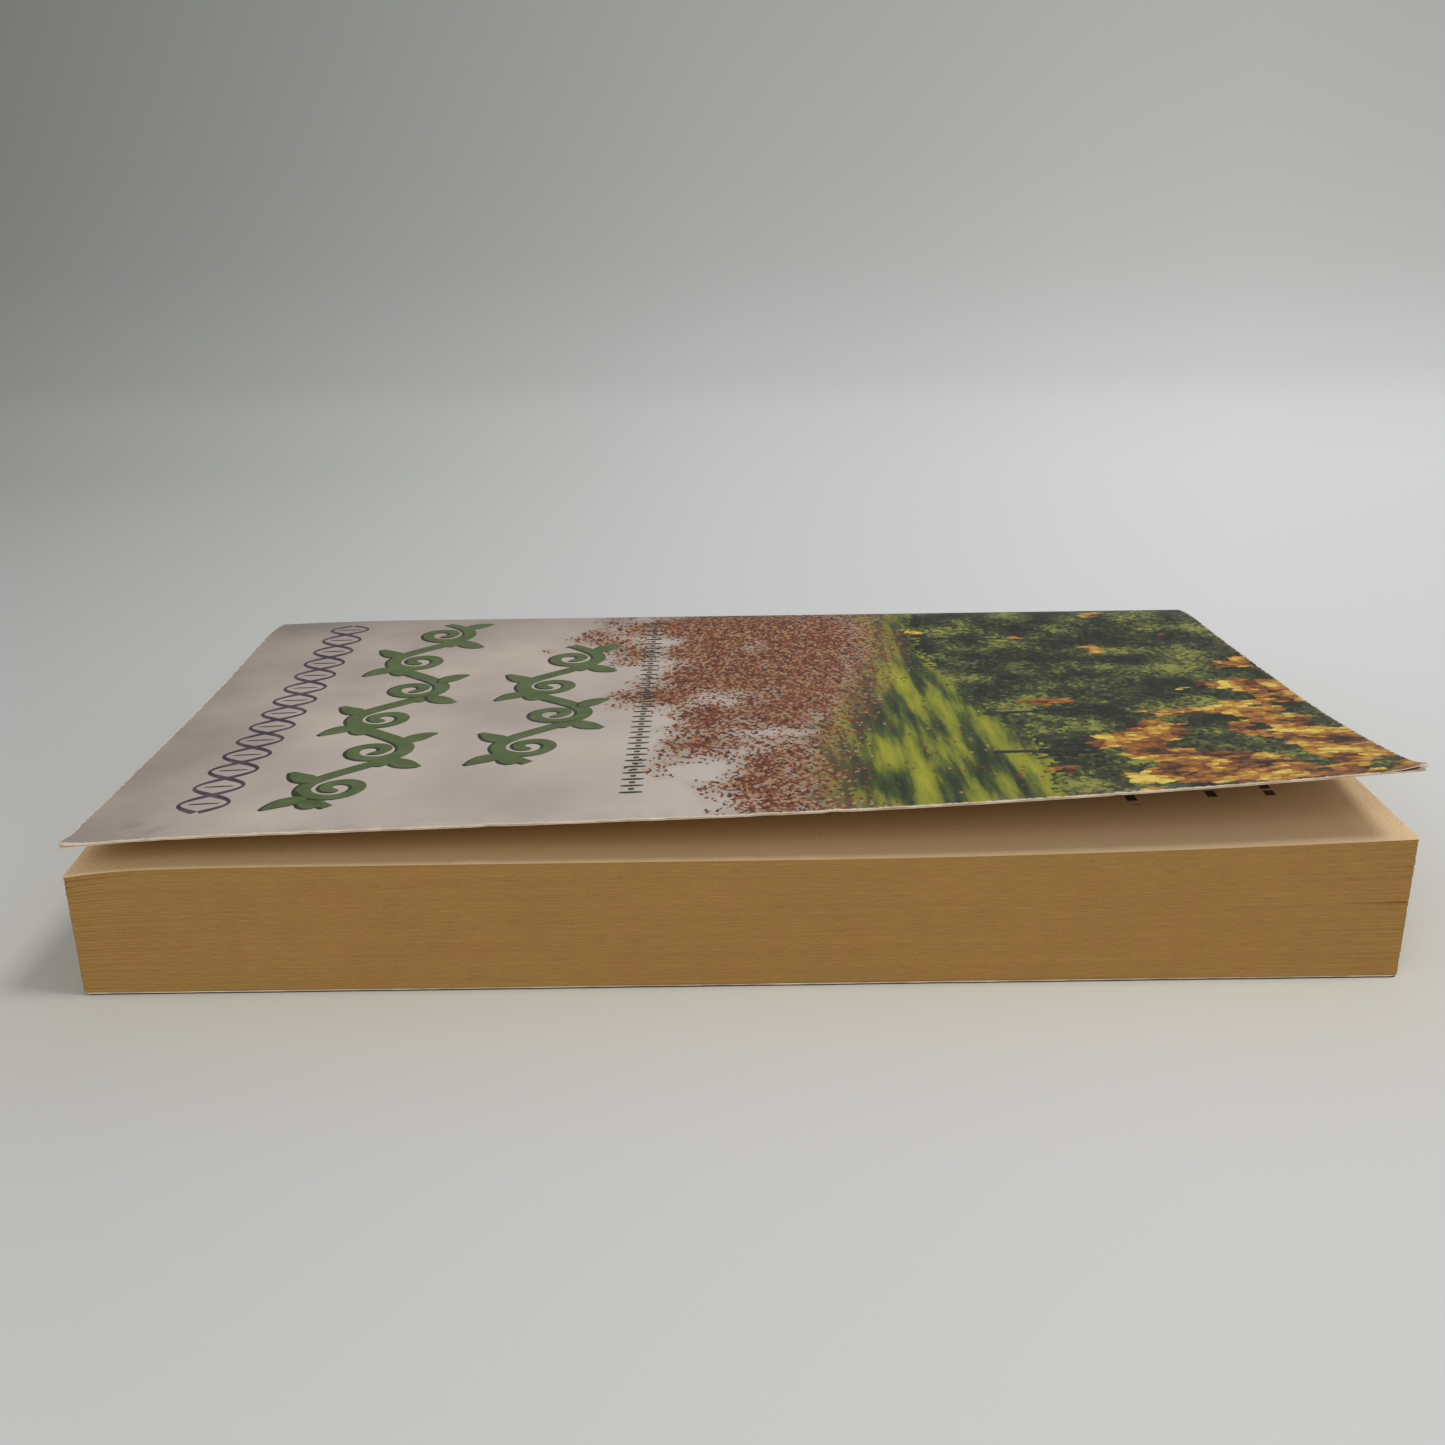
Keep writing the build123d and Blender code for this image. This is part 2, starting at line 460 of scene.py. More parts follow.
    def leaf_bottom(self, x: Array, y: Array) -> Array:
        """Lowest leaf: it lies on the back cover."""
        return self.card + self.foot(x, y)

    def fore_edge(self, x: Array, steps: int = 40) -> Array:
        """Free edge of the lifted cover: its slopes take half their squares off its reach."""
        y = self.spine - np.linspace(0, self.width, steps + 1)[:, None]
        slope = np.diff(self.card_level(x[None, :], y), axis=0) / (self.width / steps)
        return -self.spine + (slope**2).sum(0) * (self.width / steps) / 2

    def unrolled(self, x: Array, y: Array, steps: int = 48) -> Array:
        """Length along the lower face of the cover from the fold to a point, summed over short steps."""
        share = np.linspace(0, 1, steps + 1).reshape(-1, *[1] * np.ndim(x))
        line = self.spine + share * (y - self.spine)
        rise = np.diff(self.card_level(x[None], line), axis=0)
        return np.sqrt(rise**2 + ((self.spine - y) / steps)[None] ** 2).sum(0)

    def at_flat(self, u: Array, v: Array) -> Line:
        """Place across the book of a point v millimetres from the fold on the print, and its lower face."""
        y = self.spine - v
        for _ in range(3):
            y = y + self.unrolled(u, y) - v
        return y, self.card_level(u, y)


@dataclass
class Leaves:
    """The block of leaves, trimmed on three sides, with the first page on top.

    The walls are a grid of leaf rows by places round the outline. Each leaf stands in or out by a
    few hundredths of a millimetre, in gatherings that moved together under the knife, and some
    leaves part from their neighbours towards the two corners of the fore-edge.
    """

    form: BookForm
    rows: int = 150
    corner: float = 0.5
    fore_step: float = 0.75
    side_step: float = 1.6
    # Places close to a rubbed corner, and where the even steps begin
    corner_steps: Span = (0.0, 0.2, 0.5)
    even_from: float = 1.2
    # How far gatherings and single leaves stand back, and their knots in leaves and in millimetres
    gathering: float = 0.06
    gathering_knots: Span = (7, 26)
    leaf: float = 0.035
    leaf_knots: Span = (1, 7)
    fanned: float = 0.13
    fore_reach: float = 26.0
    side_reach: float = 40.0
    # The bottom row stands back under the glued seam, and the top row comes forward
    seam: float = 0.3
    top_share: float = 0.3
    seed: int = 11
    # Partings: height as a share of the block, end (1 head, -1 tail), reach on the fore-edge, depth
    gaps: tuple[tuple[float, int, float, float], ...] = (
        (0.545, 1, 8.0, 0.32), (0.80, 1, 4.0, 0.2),
        (0.955, -1, 9.0, 0.22), (0.91, -1, 7.0, 0.18), (0.86, -1, 5.0, 0.15),
    )

    def along(self, length: float, step: float) -> Array:
        """Places from 0 to length, a step apart, and closer at both ends where the corners are rubbed."""
        close = np.array(self.corner_steps)
        middle = np.linspace(self.even_from, length - self.even_from, int(length / step))
        return np.concatenate([close, middle, length - close[::-1]])

    def rubbed(self, x: Array, y: Array) -> Line:
        """Round the two corners at the fore-edge: the square of a corner is drawn in to a quarter disc."""
        u = np.clip((np.abs(x) - self.form.head) / self.corner + 1, 0, 1)
        v = np.clip((-self.form.spine - y) / self.corner + 1, 0, 1)
        new_x = x - np.sign(x) * self.corner * u * (1 - np.sqrt(1 - v**2 / 2))
        return new_x, y + self.corner * v * (1 - np.sqrt(1 - u**2 / 2))

    def inset(self, way: Array, side: float) -> Array:
        """How far each point of the walls stands back: gatherings, single leaves and the parted leaves.

        Args:
            way: Place along the outline of each column.
            side: Length of the head and of the tail side.

        Returns:
            Millimetres, (rows, columns), never below 0.
        """
        rng = np.random.default_rng(self.seed)
        even = np.linspace(0, way[-1], int(way[-1]))
        gathered = smooth_noise(rng, self.rows, len(even), *self.gathering_knots)
        single = smooth_noise(rng, self.rows, len(even), *self.leaf_knots)
        deep = self.gathering * (gathered + 1) / 2 + self.leaf * (single + 1) / 2
        deep = np.stack([np.interp(way, even, row) for row in deep])
        corners = {-1: side, 1: way[-1] - side}
        beside = (way < corners[-1]) | (way > corners[1])
        for corner in corners.values():
            reach = np.where(beside, self.side_reach, self.fore_reach)
            fan = np.clip(1 - np.abs(way - corner) / reach, 0, 1) ** 2
            deep += self.fanned * rng.random((self.rows, 1)) ** 3 * fan
        for height, end, length, depth in self.gaps:
            reach = np.where(beside, 2 * length, length)
            away = np.abs(way - corners[end]) / reach
            row = int(height * (self.rows - 1))
            deep[row : row + 2] += depth * np.clip(1 - away, 0, 1) ** 0.5
        deep[-1] *= self.top_share
        deep[0] += self.seam
        return deep

    def build(self, dress: "Finishes") -> Piece:
        """Make the walls, the first page, the underside and the glued edge as one closed mesh."""
        form = self.form
        end, edge, back = form.head, -form.spine, form.leaf_spine
        side, fore = self.along(back - edge, self.side_step), self.along(form.length, self.fore_step)
        columns, rows = len(fore), len(side)
        x = np.concatenate([np.full(rows, -end), fore[1:-1] - end, np.full(rows, end)])
        y = np.concatenate([back - side, np.full(columns - 2, edge), edge + side])
        way = np.concatenate([side, side[-1] + fore[1:-1], side[-1] + fore[-1] + side])
        inward = np.stack([-np.sign(x) * (np.abs(x) == end), 1.0 * (y == edge)], 1)
        plan = np.stack(self.rubbed(x, y), 1) + inward * self.inset(way, side[-1])[:, :, None]
        place = plan[..., 0], plan[..., 1]
        top, bottom = form.leaf_level(*place), form.leaf_bottom(*place)
        height = bottom + np.linspace(0, 1, self.rows)[:, None] * (top - bottom)
        walls = np.concatenate([plan, height[..., None]], 2)
        wall_uv = np.stack(np.broadcast_arrays(way, height), -1)
        page_x, page_y = self.rubbed(*np.meshgrid(fore - end, back - side))
        page = np.stack([page_x, page_y, form.leaf_level(page_x, page_y)], -1)
        under = np.stack([page_x, page_y, form.leaf_bottom(page_x, page_y)], -1)
        for level, rim in ((page, walls[-1]), (under, walls[0])):
            level[:, 0], level[-1] = rim[:rows], rim[rows - 1 : rows - 1 + columns]
            level[:, -1] = rim[-rows:][::-1]
        glued = np.stack([page[0], under[0]])
        grids = [(walls, wall_uv, 0), (page, page[..., :2], 1), (under, under[..., :2], 1)]
        grids.append((glued, glued[..., ::2], 0))
        piece = make_object("leaves", *stack_grids(grids))
        close_up(piece, dress.trimmed_edge, dress.page)
        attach(piece, "book")
        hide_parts("page_block")
        return piece


@dataclass
class CardShell:
    """A sheet of card as a closed shell: an inner face, an outer face, and a pulpy edge between them."""

    setback: float = 0.07
    fray: float = 0.035
    seed: int = 5
    fray_knots: float = 1.6
    # Rows of the edge: share of the way from the outer face to the inner one, and of the bulge
    profile: tuple[tuple[float, float], ...] = ((0.15, 0.6), (0.4, 1.0), (0.65, 0.95), (0.88, 0.5))

    @staticmethod
    def outwards(place: Array, normal: Array, square: Array) -> Array:
        """Directions out of the sheet along its rim: across both the rim's own direction and the normal.

        They have length 1, or 0 at the points of the cut, which stays square.
        """
        away = np.cross(np.roll(place, -1, axis=0) - np.roll(place, 1, axis=0), normal)
        away *= np.sign((away * (place - place.mean(0))).sum())
        away[square] = 0
        return away / np.maximum(np.linalg.norm(away, axis=1, keepdims=True), NO_LENGTH)

    def wrap(
        self,
        name: str,
        inner: Array,
        normal: Array,
        thickness: Array,
        flat: Array,
        rim: Array,
        finishes: tuple[Finish, ...],
    ) -> Piece:
        """Close a sheet round its edges.

        The outer face is the inner one moved along its normals. Both are set back a little at the
        rim, and the rows of points between them bulge out in a frayed half round. The first row is
        the cut where the other sheet goes on, so it stays square.

        Args:
            name: The piece's name.
            inner: Inner face, (rows, columns, 3).
            normal: Directions out of the sheet, of any length, (rows, columns, 3).
            thickness: Thickness at each point, (rows, columns).
            flat: Place of each point on the flat print, (rows, columns, 2).
            rim: Distance of each point from the nearest free edge, (rows, columns).
            finishes: Materials of the outer face, the inner face and the edge.

        Returns:
            The object.
        """
        rows, columns = thickness.shape
        size, between = rows * columns, len(self.profile)
        normal = normal / np.linalg.norm(normal, axis=2, keepdims=True)
        outer = inner + normal * thickness[..., None]
        number = np.arange(size).reshape(rows, columns)
        loop = np.concatenate([number[0, :-1], number[:-1, -1], number[-1, :0:-1], number[:0:-1, 0]])
        rim_in, rim_out = inner.reshape(-1, 3).copy(), outer.reshape(-1, 3).copy()
        away = self.outwards(rim_in[loop], normal.reshape(-1, 3)[loop], loop < columns)
        rim_in[loop] -= away * self.setback
        rim_out[loop] -= away * self.setback
        rng = np.random.default_rng(self.seed)
        rings = []
        for share, bulge in self.profile:
            noise = (smooth_noise(rng, 1, len(loop), 1, self.fray_knots)[0] - 1) * self.fray
            swell = (self.setback * bulge + noise)[:, None] * away
            rings.append(rim_out[loop] * (1 - share) + rim_in[loop] * share + swell)
        points = np.concatenate([rim_out, rim_in, *rings])
        order = [loop, *(2 * size + np.arange(between * len(loop))).reshape(between, -1), loop + size]
        faces = [grid_faces(rows, columns), grid_faces(rows, columns, size)[:, ::-1]]
        for above, below in zip(order, order[1:]):
            faces.append(np.stack([np.roll(above, -1), above, below, np.roll(below, -1)], 1))
        slots = np.repeat([0, 1, *[2] * (between + 1)], [len(part) for part in faces])
        source = np.concatenate([number.ravel(), number.ravel(), np.tile(loop, between)])
        piece = make_object(name, points, np.concatenate(faces), flat.reshape(-1, 2)[source], slots)
        shares = [0.0, 1.0, *(share for share, _ in self.profile)]
        through = np.repeat(shares, [size, size, *[len(loop)] * between])
        for label, values in ((RIM, rim.ravel()[source]), (DEPTH, through)):
            layer = piece.data.attributes.new(label, "FLOAT", "POINT")
            layer.data.foreach_set("value", values.astype(np.float32))
        close_up(piece, *finishes)
        return piece


@dataclass
class FoldedSheet:
    """What the two sheets of the cover share: card that is folded once and has one free edge.

    A row of points runs the length of the book. The first rows stand on the spine, from the cut to
    the fold, the next go round the fold in a quarter circle, and the rest go out to the free edge.
    """

    form: BookForm
    panel_rows: int
    columns: int
    rough: float
    seed: int
    cut: float = 1.2
    fold_radius: float = 0.25
    fold_rows: int = 8
    corner: float = 0.9
    waver_knots: float = 3

    @property
    def turn(self) -> Array:
        """Angle of each row round the fold, from upright to lying."""
        return np.linspace(0, np.pi / 2, self.fold_rows)

    def stations(self, middle: Array) -> Array:
        """Shares of the half length at which the columns stand: as given, and close at both ends."""
        close = RIM_STEPS / self.form.head
        return np.concatenate([-1 + close, middle, 1 - close[::-1]])

    def shares(self, middle: Array) -> Array:
        """Shares of the way out to the free edge at which the rows lie: as given, and then close."""
        rim = 1 - RIM_STEPS[::-1] / self.form.width
        return np.concatenate([middle[middle < rim[0] - RIM_GAP], rim])

    def across(self, shares: Array, edge: Array) -> Array:
        """Places across the book, (rows, columns): up the spine, round the fold, and out.

        The way out is given as shares of the way to the free edge, whose place each column has.
        """
        panel = np.full((self.panel_rows, len(edge)), self.form.card_inside)
        bend = self.form.card_inside - self.fold_radius * (1 - np.cos(self.turn))
        bend = bend[:, None] * np.ones(len(edge))
        return np.concatenate([panel, bend, bend[-1] + shares[:, None] * (edge - bend[-1])])

    def outward(self, lying: Array, rows: int) -> Array:
        """Directions out of the card: away from the spine, turned round the fold, then as it lies."""
        share = np.concatenate([np.zeros(self.panel_rows), np.sin(self.turn), np.ones(rows)])[:, None, None]
        return share * lying + np.sqrt(1 - share**2) * np.array([0.0, 1.0, 0.0])


@dataclass
class FrontSheet(FoldedSheet):
    """Front cover and spine panel, one sheet of card folded round the top of the spine.

    The free edge's corners are rubbed and each end has a nick. The tail corner is crushed and its
    plies stand apart. The head corner's top ply has peeled, so there the sheet is thinner and the
    ply is a piece of its own.
    """

    panel_rows: int = 23
    columns: int = 172
    rough: float = 0.07
    seed: int = 3
    cover_rows: int = 165
    crowding: float = 1.08
    trim: float = 0.03
    # A wavering edge begins this far from the spine
    waver_from: float = 0.9
    nick_depth: float = 0.4
    nick_half: float = 1.2
    nicks: tuple[tuple[int, float], ...] = ((1, 45.0), (-1, 34.0))
    # The crushed corner: how far its plies part, over what length, and the shares down and in all
    crush: float = 0.55
    crush_reach: float = 2.6
    crush_down: float = 0.2
    crush_swell: float = 1.2
    ply_step: float = 0.5
    bare_corner: float = -1.6
    # Wear of the free edge: its fine and its coarse knots, and the depth of the coarse one
    wear_knots: Span = (2, 4)
    wear: float = 0.3
    # Chips out of the free edge: place along the book, half length and depth
    chips: tuple[Span, ...] = ((12.0, 1.6, 0.35), (-31.0, 1.2, 0.2), (47.0, 0.9, 0.22))

    @staticmethod
    def torn(from_head: Array) -> Array:
        """How bare the head corner is, 1 at its tip and 0 two and a half millimetres in."""
        return np.clip(1.6 - from_head / 1.6, 0, 1)

    def end_at(self, way: Array, side: int, edge: float) -> Array:
        """Where the head (1) or tail (-1) end stands at each distance across the cover.

        The corner takes away what a quarter circle does, a nick takes away a triangle, and the
        knife and wear leave a waver of a few hundredths.

        Args:
            way: Distance of each row from the spine.
            side: 1 for the head, -1 for the tail.
            edge: Distance of the free edge from the spine at that end.

        Returns:
            The place along X of each row's end, without its sign.
        """
        rng = np.random.default_rng(self.seed + side)
        lost = rounded_off(self.corner, edge - way)
        for end, place in self.nicks:
            if end == side:
                lost = lost + self.nick_depth * np.clip(1 - np.abs(way - place) / self.nick_half, 0, 1)
        waver = line_noise(rng, len(way), self.waver_knots) * self.rough * (way > self.waver_from)
        return self.form.head - self.trim - lost - waver

    def free_edge(self, x: Array) -> Array:
        """Place of the free edge at each column, with its fine and coarse wear and its chips."""
        fine, coarse = self.wear_knots
        rng = np.random.default_rng(self.seed)
        lost = line_noise(rng, len(x), fine) * self.rough
        lost += self.wear * np.clip(smooth_noise(rng, 1, len(x), 1, coarse)[0] - 0.5, 0, 1)
        for place, half, depth in self.chips:
            lost += depth * np.clip(1 - np.abs(x - place) / half, 0, 1) ** 0.6
        return self.form.fore_edge(x) + lost

    def build(self, shell: CardShell, dress: "Finishes") -> Piece:
        """Make the folded sheet."""
        form, first, last = self.form, self.panel_rows, self.panel_rows + self.fold_rows
        station = self.stations(np.linspace(-1, 1, self.columns)[2:-2])
        out = self.shares((np.arange(1, self.cover_rows) / self.cover_rows) ** self.crowding)
        edges = form.fore_edge(np.array([-form.head, form.head]))
        ways = form.spine - self.across(out, edges).T
        tail, head = (self.end_at(*each)[:, None] for each in zip(ways, (-1, 1), form.spine - edges))
        x = np.where(station > 0, station * head, station * tail)
        free = self.free_edge(x[-1])
        y = self.across(out, free)
        z = form.card_level(x, y)
        z[first:last] -= self.fold_radius * (1 - np.sin(self.turn))[:, None]
        z[:first] = self.cut + np.linspace(0, 1, first, endpoint=False)[:, None] * (z[first] - self.cut)
        inner = np.stack([x, y, z], -1)
        flat = np.stack([x, rolled_out(inner) - (z[first] - self.cut + self.fold_radius)], -1)
        from_tail = np.hypot(x + form.head, y - edges[0])
        from_head = (form.head - x) + (y - edges[1])
        crushed = self.crush * np.exp(-((from_tail / self.crush_reach) ** 2))
        thin = form.ply * np.clip((form.ply_reach - from_head) / self.ply_step, 0, 1) * (y < 0)
        inner[..., 2] -= self.crush_down * crushed
        thickness = form.card + self.crush_swell * crushed - thin
        rim = np.minimum(form.head - np.abs(x), y - free) + self.bare_corner * self.torn(from_head)
        normal = self.outward(form.card_normal(x, y), len(out))
        finishes = (dress.print, dress.inside, dress.edge)
        piece = shell.wrap("front_sheet", inner, normal, thickness, flat, rim, finishes)
        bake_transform(piece)
        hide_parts("front_cover", "spine_cover")
        return piece


@dataclass
class BackSheet(FoldedSheet):
    """Back cover and the strip of the same card that turns up the spine, flat on the table."""

    panel_rows: int = 3
    columns: int = 120
    rough: float = 0.06
    seed: int = 8
    cover_rows: int = 60
    # Heights of the strip's rows under the cut
    strip: Span = (0.95, 0.75)
    # Shares of the length and of the width between which the rows and columns are even
    even_to: float = 0.98
    even_rows: Span = (0.01, 0.985)
    # A wavering edge begins this far in from the fold
    waver_from: float = 0.3

    def build(self, shell: CardShell, dress: "Finishes") -> Piece:
        """Make the folded sheet."""
        form = self.form
        station = self.stations(np.linspace(-self.even_to, self.even_to, self.columns))
        out = self.shares(np.linspace(*self.even_rows, self.cover_rows))
        row = self.across(out, np.array([-form.spine]))[:, 0]
        inside = form.card_inside - self.fold_radius
        fold = form.card + self.fold_radius - self.fold_radius * np.sin(self.turn)
        level = np.concatenate([[self.cut, *self.strip], fold, np.full(len(out), form.card)])
        rng = np.random.default_rng(self.seed)
        end = form.head - rounded_off(self.corner, row + form.spine)
        end -= line_noise(rng, len(row), self.waver_knots) * self.rough * (row < inside - self.waver_from)
        x = station * end[:, None]
        chips = line_noise(rng, len(station), self.waver_knots) * self.rough
        reach = np.clip((inside - row) / (inside + form.spine), 0, 1)[:, None]
        y = row[:, None] + reach * chips
        inner = np.stack([x, y, level[:, None] + form.foot(x, y)], -1)
        flat = np.stack([x, -(rolled_out(inner) + form.spine_height - self.cut)], -1)
        rim = np.minimum(form.head - np.abs(x), y + form.spine)
        normal = np.broadcast_to(self.outward(np.array([0.0, 0.0, -1.0]), len(out)), inner.shape)
        finishes = (dress.print, dress.inside, dress.edge)
        piece = shell.wrap("back_sheet", inner, normal, np.full(x.shape, form.card), flat, rim, finishes)
        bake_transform(piece)
        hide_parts("back_cover")
        return piece


@dataclass
class PeeledPly:
    """The card's printed top ply where it has parted at the head corner and curls up."""

    form: BookForm
    rows: int = 40
    columns: int = 40
    # Rows run across the corner from here to here, and the last one is torn this deep
    start: float = 7.45
    tip: float = 0.9
    rough: float = 0.22
    rough_knots: float = 2.2
    # How much of a row its ragged ends take, with a knot every few rows
    ragged: float = 0.05
    ragged_knots: float = 2
    proud: float = 0.006
    # Distance from an edge that the print's wear is told: far from one, less this much where torn
    rim: float = 2.0
    bare: float = 2.4
    seed: int = 21

    def build(self, shell: CardShell, dress: "Finishes") -> Piece:
        """Make the ply: rows run across the corner, ever nearer to its tip, with ragged ends."""
        form = self.form
        rng = np.random.default_rng(self.seed)
        corner = form.fore_edge(np.array([form.head]))[0]
        torn = line_noise(rng, self.columns, self.rough_knots) * self.rough
        way = np.linspace(0, 1, self.rows)[:, None]
        span = self.start + way * (self.tip + torn - self.start)
        ragged = (smooth_noise(rng, 2, self.rows, 1, self.ragged_knots)[:, :, None] + 1) / 2 * self.ragged
        across = np.linspace(0, 1, self.columns)
        across = across * (1 - ragged[0] - ragged[1]) + ragged[0]
        x = form.head - span * (1 - across)
        y = corner + span * across
        z = form.card_level(x, y) + form.card + self.proud - form.ply + form.peel(x, y)
        inner = np.stack([x, y, z], -1)
        flat = np.stack([x, form.unrolled(x, y)], -1)
        rim = self.rim - self.bare * FrontSheet.torn(span)
        normal, thickness = form.card_normal(x, y, 1.0), np.full(x.shape, form.ply)
        finishes = (dress.print, dress.edge, dress.edge)
        piece = shell.wrap("peeled_ply", inner, normal, thickness, flat, rim, finishes)
        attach(piece, "front")
        return piece


def laid_on_cover(name: str, grids: list[Array], finish: Finish) -> Piece:
    """Make a piece of closed grids of points, (rows, columns, 3), that rides on the front cover."""
    points, faces, _, _ = stack_grids([(grid, grid[..., :2], 0) for grid in grids])
    piece = make_object(name, points, faces)
    close_up(piece, finish)
    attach(piece, "front")
    return piece


@dataclass
class InkRibbons:
    """Printed lines laid on the front cover as closed ribbons, a few hundredths of a millimetre proud.

    A ribbon has a flat-topped section: its corners lie at shares of the half width across the
    path, on top or sunk in the card. Crossing ribbons lie in layers, so they share no surface.
    """

    form: BookForm
    proud: float = 0.014
    sunk: float = 0.04
    layer: float = 0.0008
    layers: int = 12
    section: Span = (-1.0, -1.0, 0.0, 1.0, 1.0, 0.0, -1.0)
    on_top: tuple[bool, ...] = (False, True, True, True, False, False, False)

    def grid(self, path: Array, half: Array, number: int, lower: float) -> Array:
        """Points of one ribbon: its section carried along its path on the cover.

        At both ends it shrinks to a point, so the ribbon is closed.

        Args:
            path: Middle of the line on the flat print, (n, 2).
            half: Half width at each point, (n,).
            number: Which ribbon it is, which gives its layer.
            lower: How much lower than usual its top is.

        Returns:
            Points, (n, corners, 3).
        """
        tangent = np.gradient(path, axis=0)
        across = np.stack([-tangent[:, 1], tangent[:, 0]], 1) / np.linalg.norm(tangent, axis=1)[:, None]
        half = half.copy()
        half[[0, -1]] = 0
        top = self.proud - lower + self.layer * (number % self.layers)
        height = np.tile(np.where(self.on_top, top, -self.sunk), (len(path), 1))
        height[[0, -1]] = -self.sunk
        flat = path[:, None] + np.array(self.section)[:, None] * half[:, None, None] * across[:, None]
        y, z = self.form.at_flat(flat[..., 0], flat[..., 1])
        normal = self.form.card_normal(flat[..., 0], y)
        normal /= np.linalg.norm(normal, axis=2, keepdims=True)
        return np.stack([flat[..., 0], y, z], -1) + normal * (self.form.card + height)[..., None]

    def lay(self, name: str, lines: list[Line], ink: Finish, lower: float = 0.0) -> Piece:
        """Join lines of one ink, given as paths, (n, 2), with half widths, (n,), into a piece."""
        grids = [self.grid(path, half, i, lower) for i, (path, half) in enumerate(lines)]
        return laid_on_cover(name, grids, ink)


def tapered(count: int, widest: float, start: float, end: float, power: float = 0.6) -> Array:
    """Half widths of a pen stroke: it swells from start to widest by a sine arch and thins to end."""
    share = np.linspace(0, 1, count)
    arch = np.sin(np.pi * share) ** power
    return arch * widest + (1 - arch) * (start + (end - start) * share)


@dataclass
class VineScroll:
    """A waving stem with curled tendrils and paired leaves, along a band across the cover."""

    middle: float
    low: float
    high: float
    waves: int
    swing: float
    points_per_wave: int = 90
    # Widest half width of a stroke, and those at its start and end
    stem_halves: Span = (1.2, 0.5, 0.4)
    tendril_halves: Span = (0.95, 0.8, 0.5)
    tendril_points: int = 60
    curl: float = 4.6
    leaf_points: int = 26
    leaf_bend: float = 0.9
    leaf_half: float = 1.5
    leaf_foot: float = 0.05
    # Leaves beside a tendril: place as a share of half a wave, slope across the book, and length
    leaves: tuple[Span, ...] = ((-0.2, -0.9, 4.6), (0.24, 0.8, 5.2), (0.42, -0.35, 3.6))

    def stem(self, way: Array) -> Array:
        """Point of the stem at a share of its length: a sine wave about the band's middle."""
        along = self.middle + self.swing * np.sin(2 * np.pi * self.waves * way)
        return np.stack([along, self.low + (self.high - self.low) * way], -1)

    def tendril(self, way: float, side: float) -> Line:
        """A spiral to one side of the stem: it winds in by 1.3 turns, its radius shrinking to a fifth."""
        turn = np.linspace(0, 1, self.tendril_points)
        radius = self.curl * (1 - 0.8 * turn**0.8)
        angle = np.pi * (0.5 + 2.6 * turn)
        centre = self.stem(np.array(way)) + np.array([-side * self.curl, 0.0])
        path = centre + np.stack([side * radius * np.sin(angle), -radius * np.cos(angle)], -1)
        return path, tapered(self.tendril_points, *self.tendril_halves)

    def leaf(self, way: float, side: float, lean: float, length: float) -> Line:
        """An almond leaf to one side of the stem: its midrib leans and bends, its width is an arch."""
        share = np.linspace(0, 1, self.leaf_points)
        bend = self.leaf_bend * side * lean * np.sin(np.pi * share)
        path = self.stem(np.array(way)) + np.stack([side * length * share, lean * length * share + bend], -1)
        return path, self.leaf_foot + self.leaf_half * np.sin(np.pi * share**0.8) ** 0.9

    def lines(self) -> list[Line]:
        """All strokes of the scroll: the stem, and at each crest a tendril with its leaves."""
        way = np.linspace(0, 1, self.points_per_wave * self.waves)
        strokes = [(self.stem(way), tapered(len(way), *self.stem_halves, 0.2))]
        for k in range(2 * self.waves):
            crest, side = (k + 0.5) / (2 * self.waves), 1.0 - 2.0 * (k % 2)
            strokes.append(self.tendril(crest, side))
            for shift, lean, length in self.leaves:
                strokes.append(self.leaf(crest + shift / (2 * self.waves), side, lean, length))
        return strokes


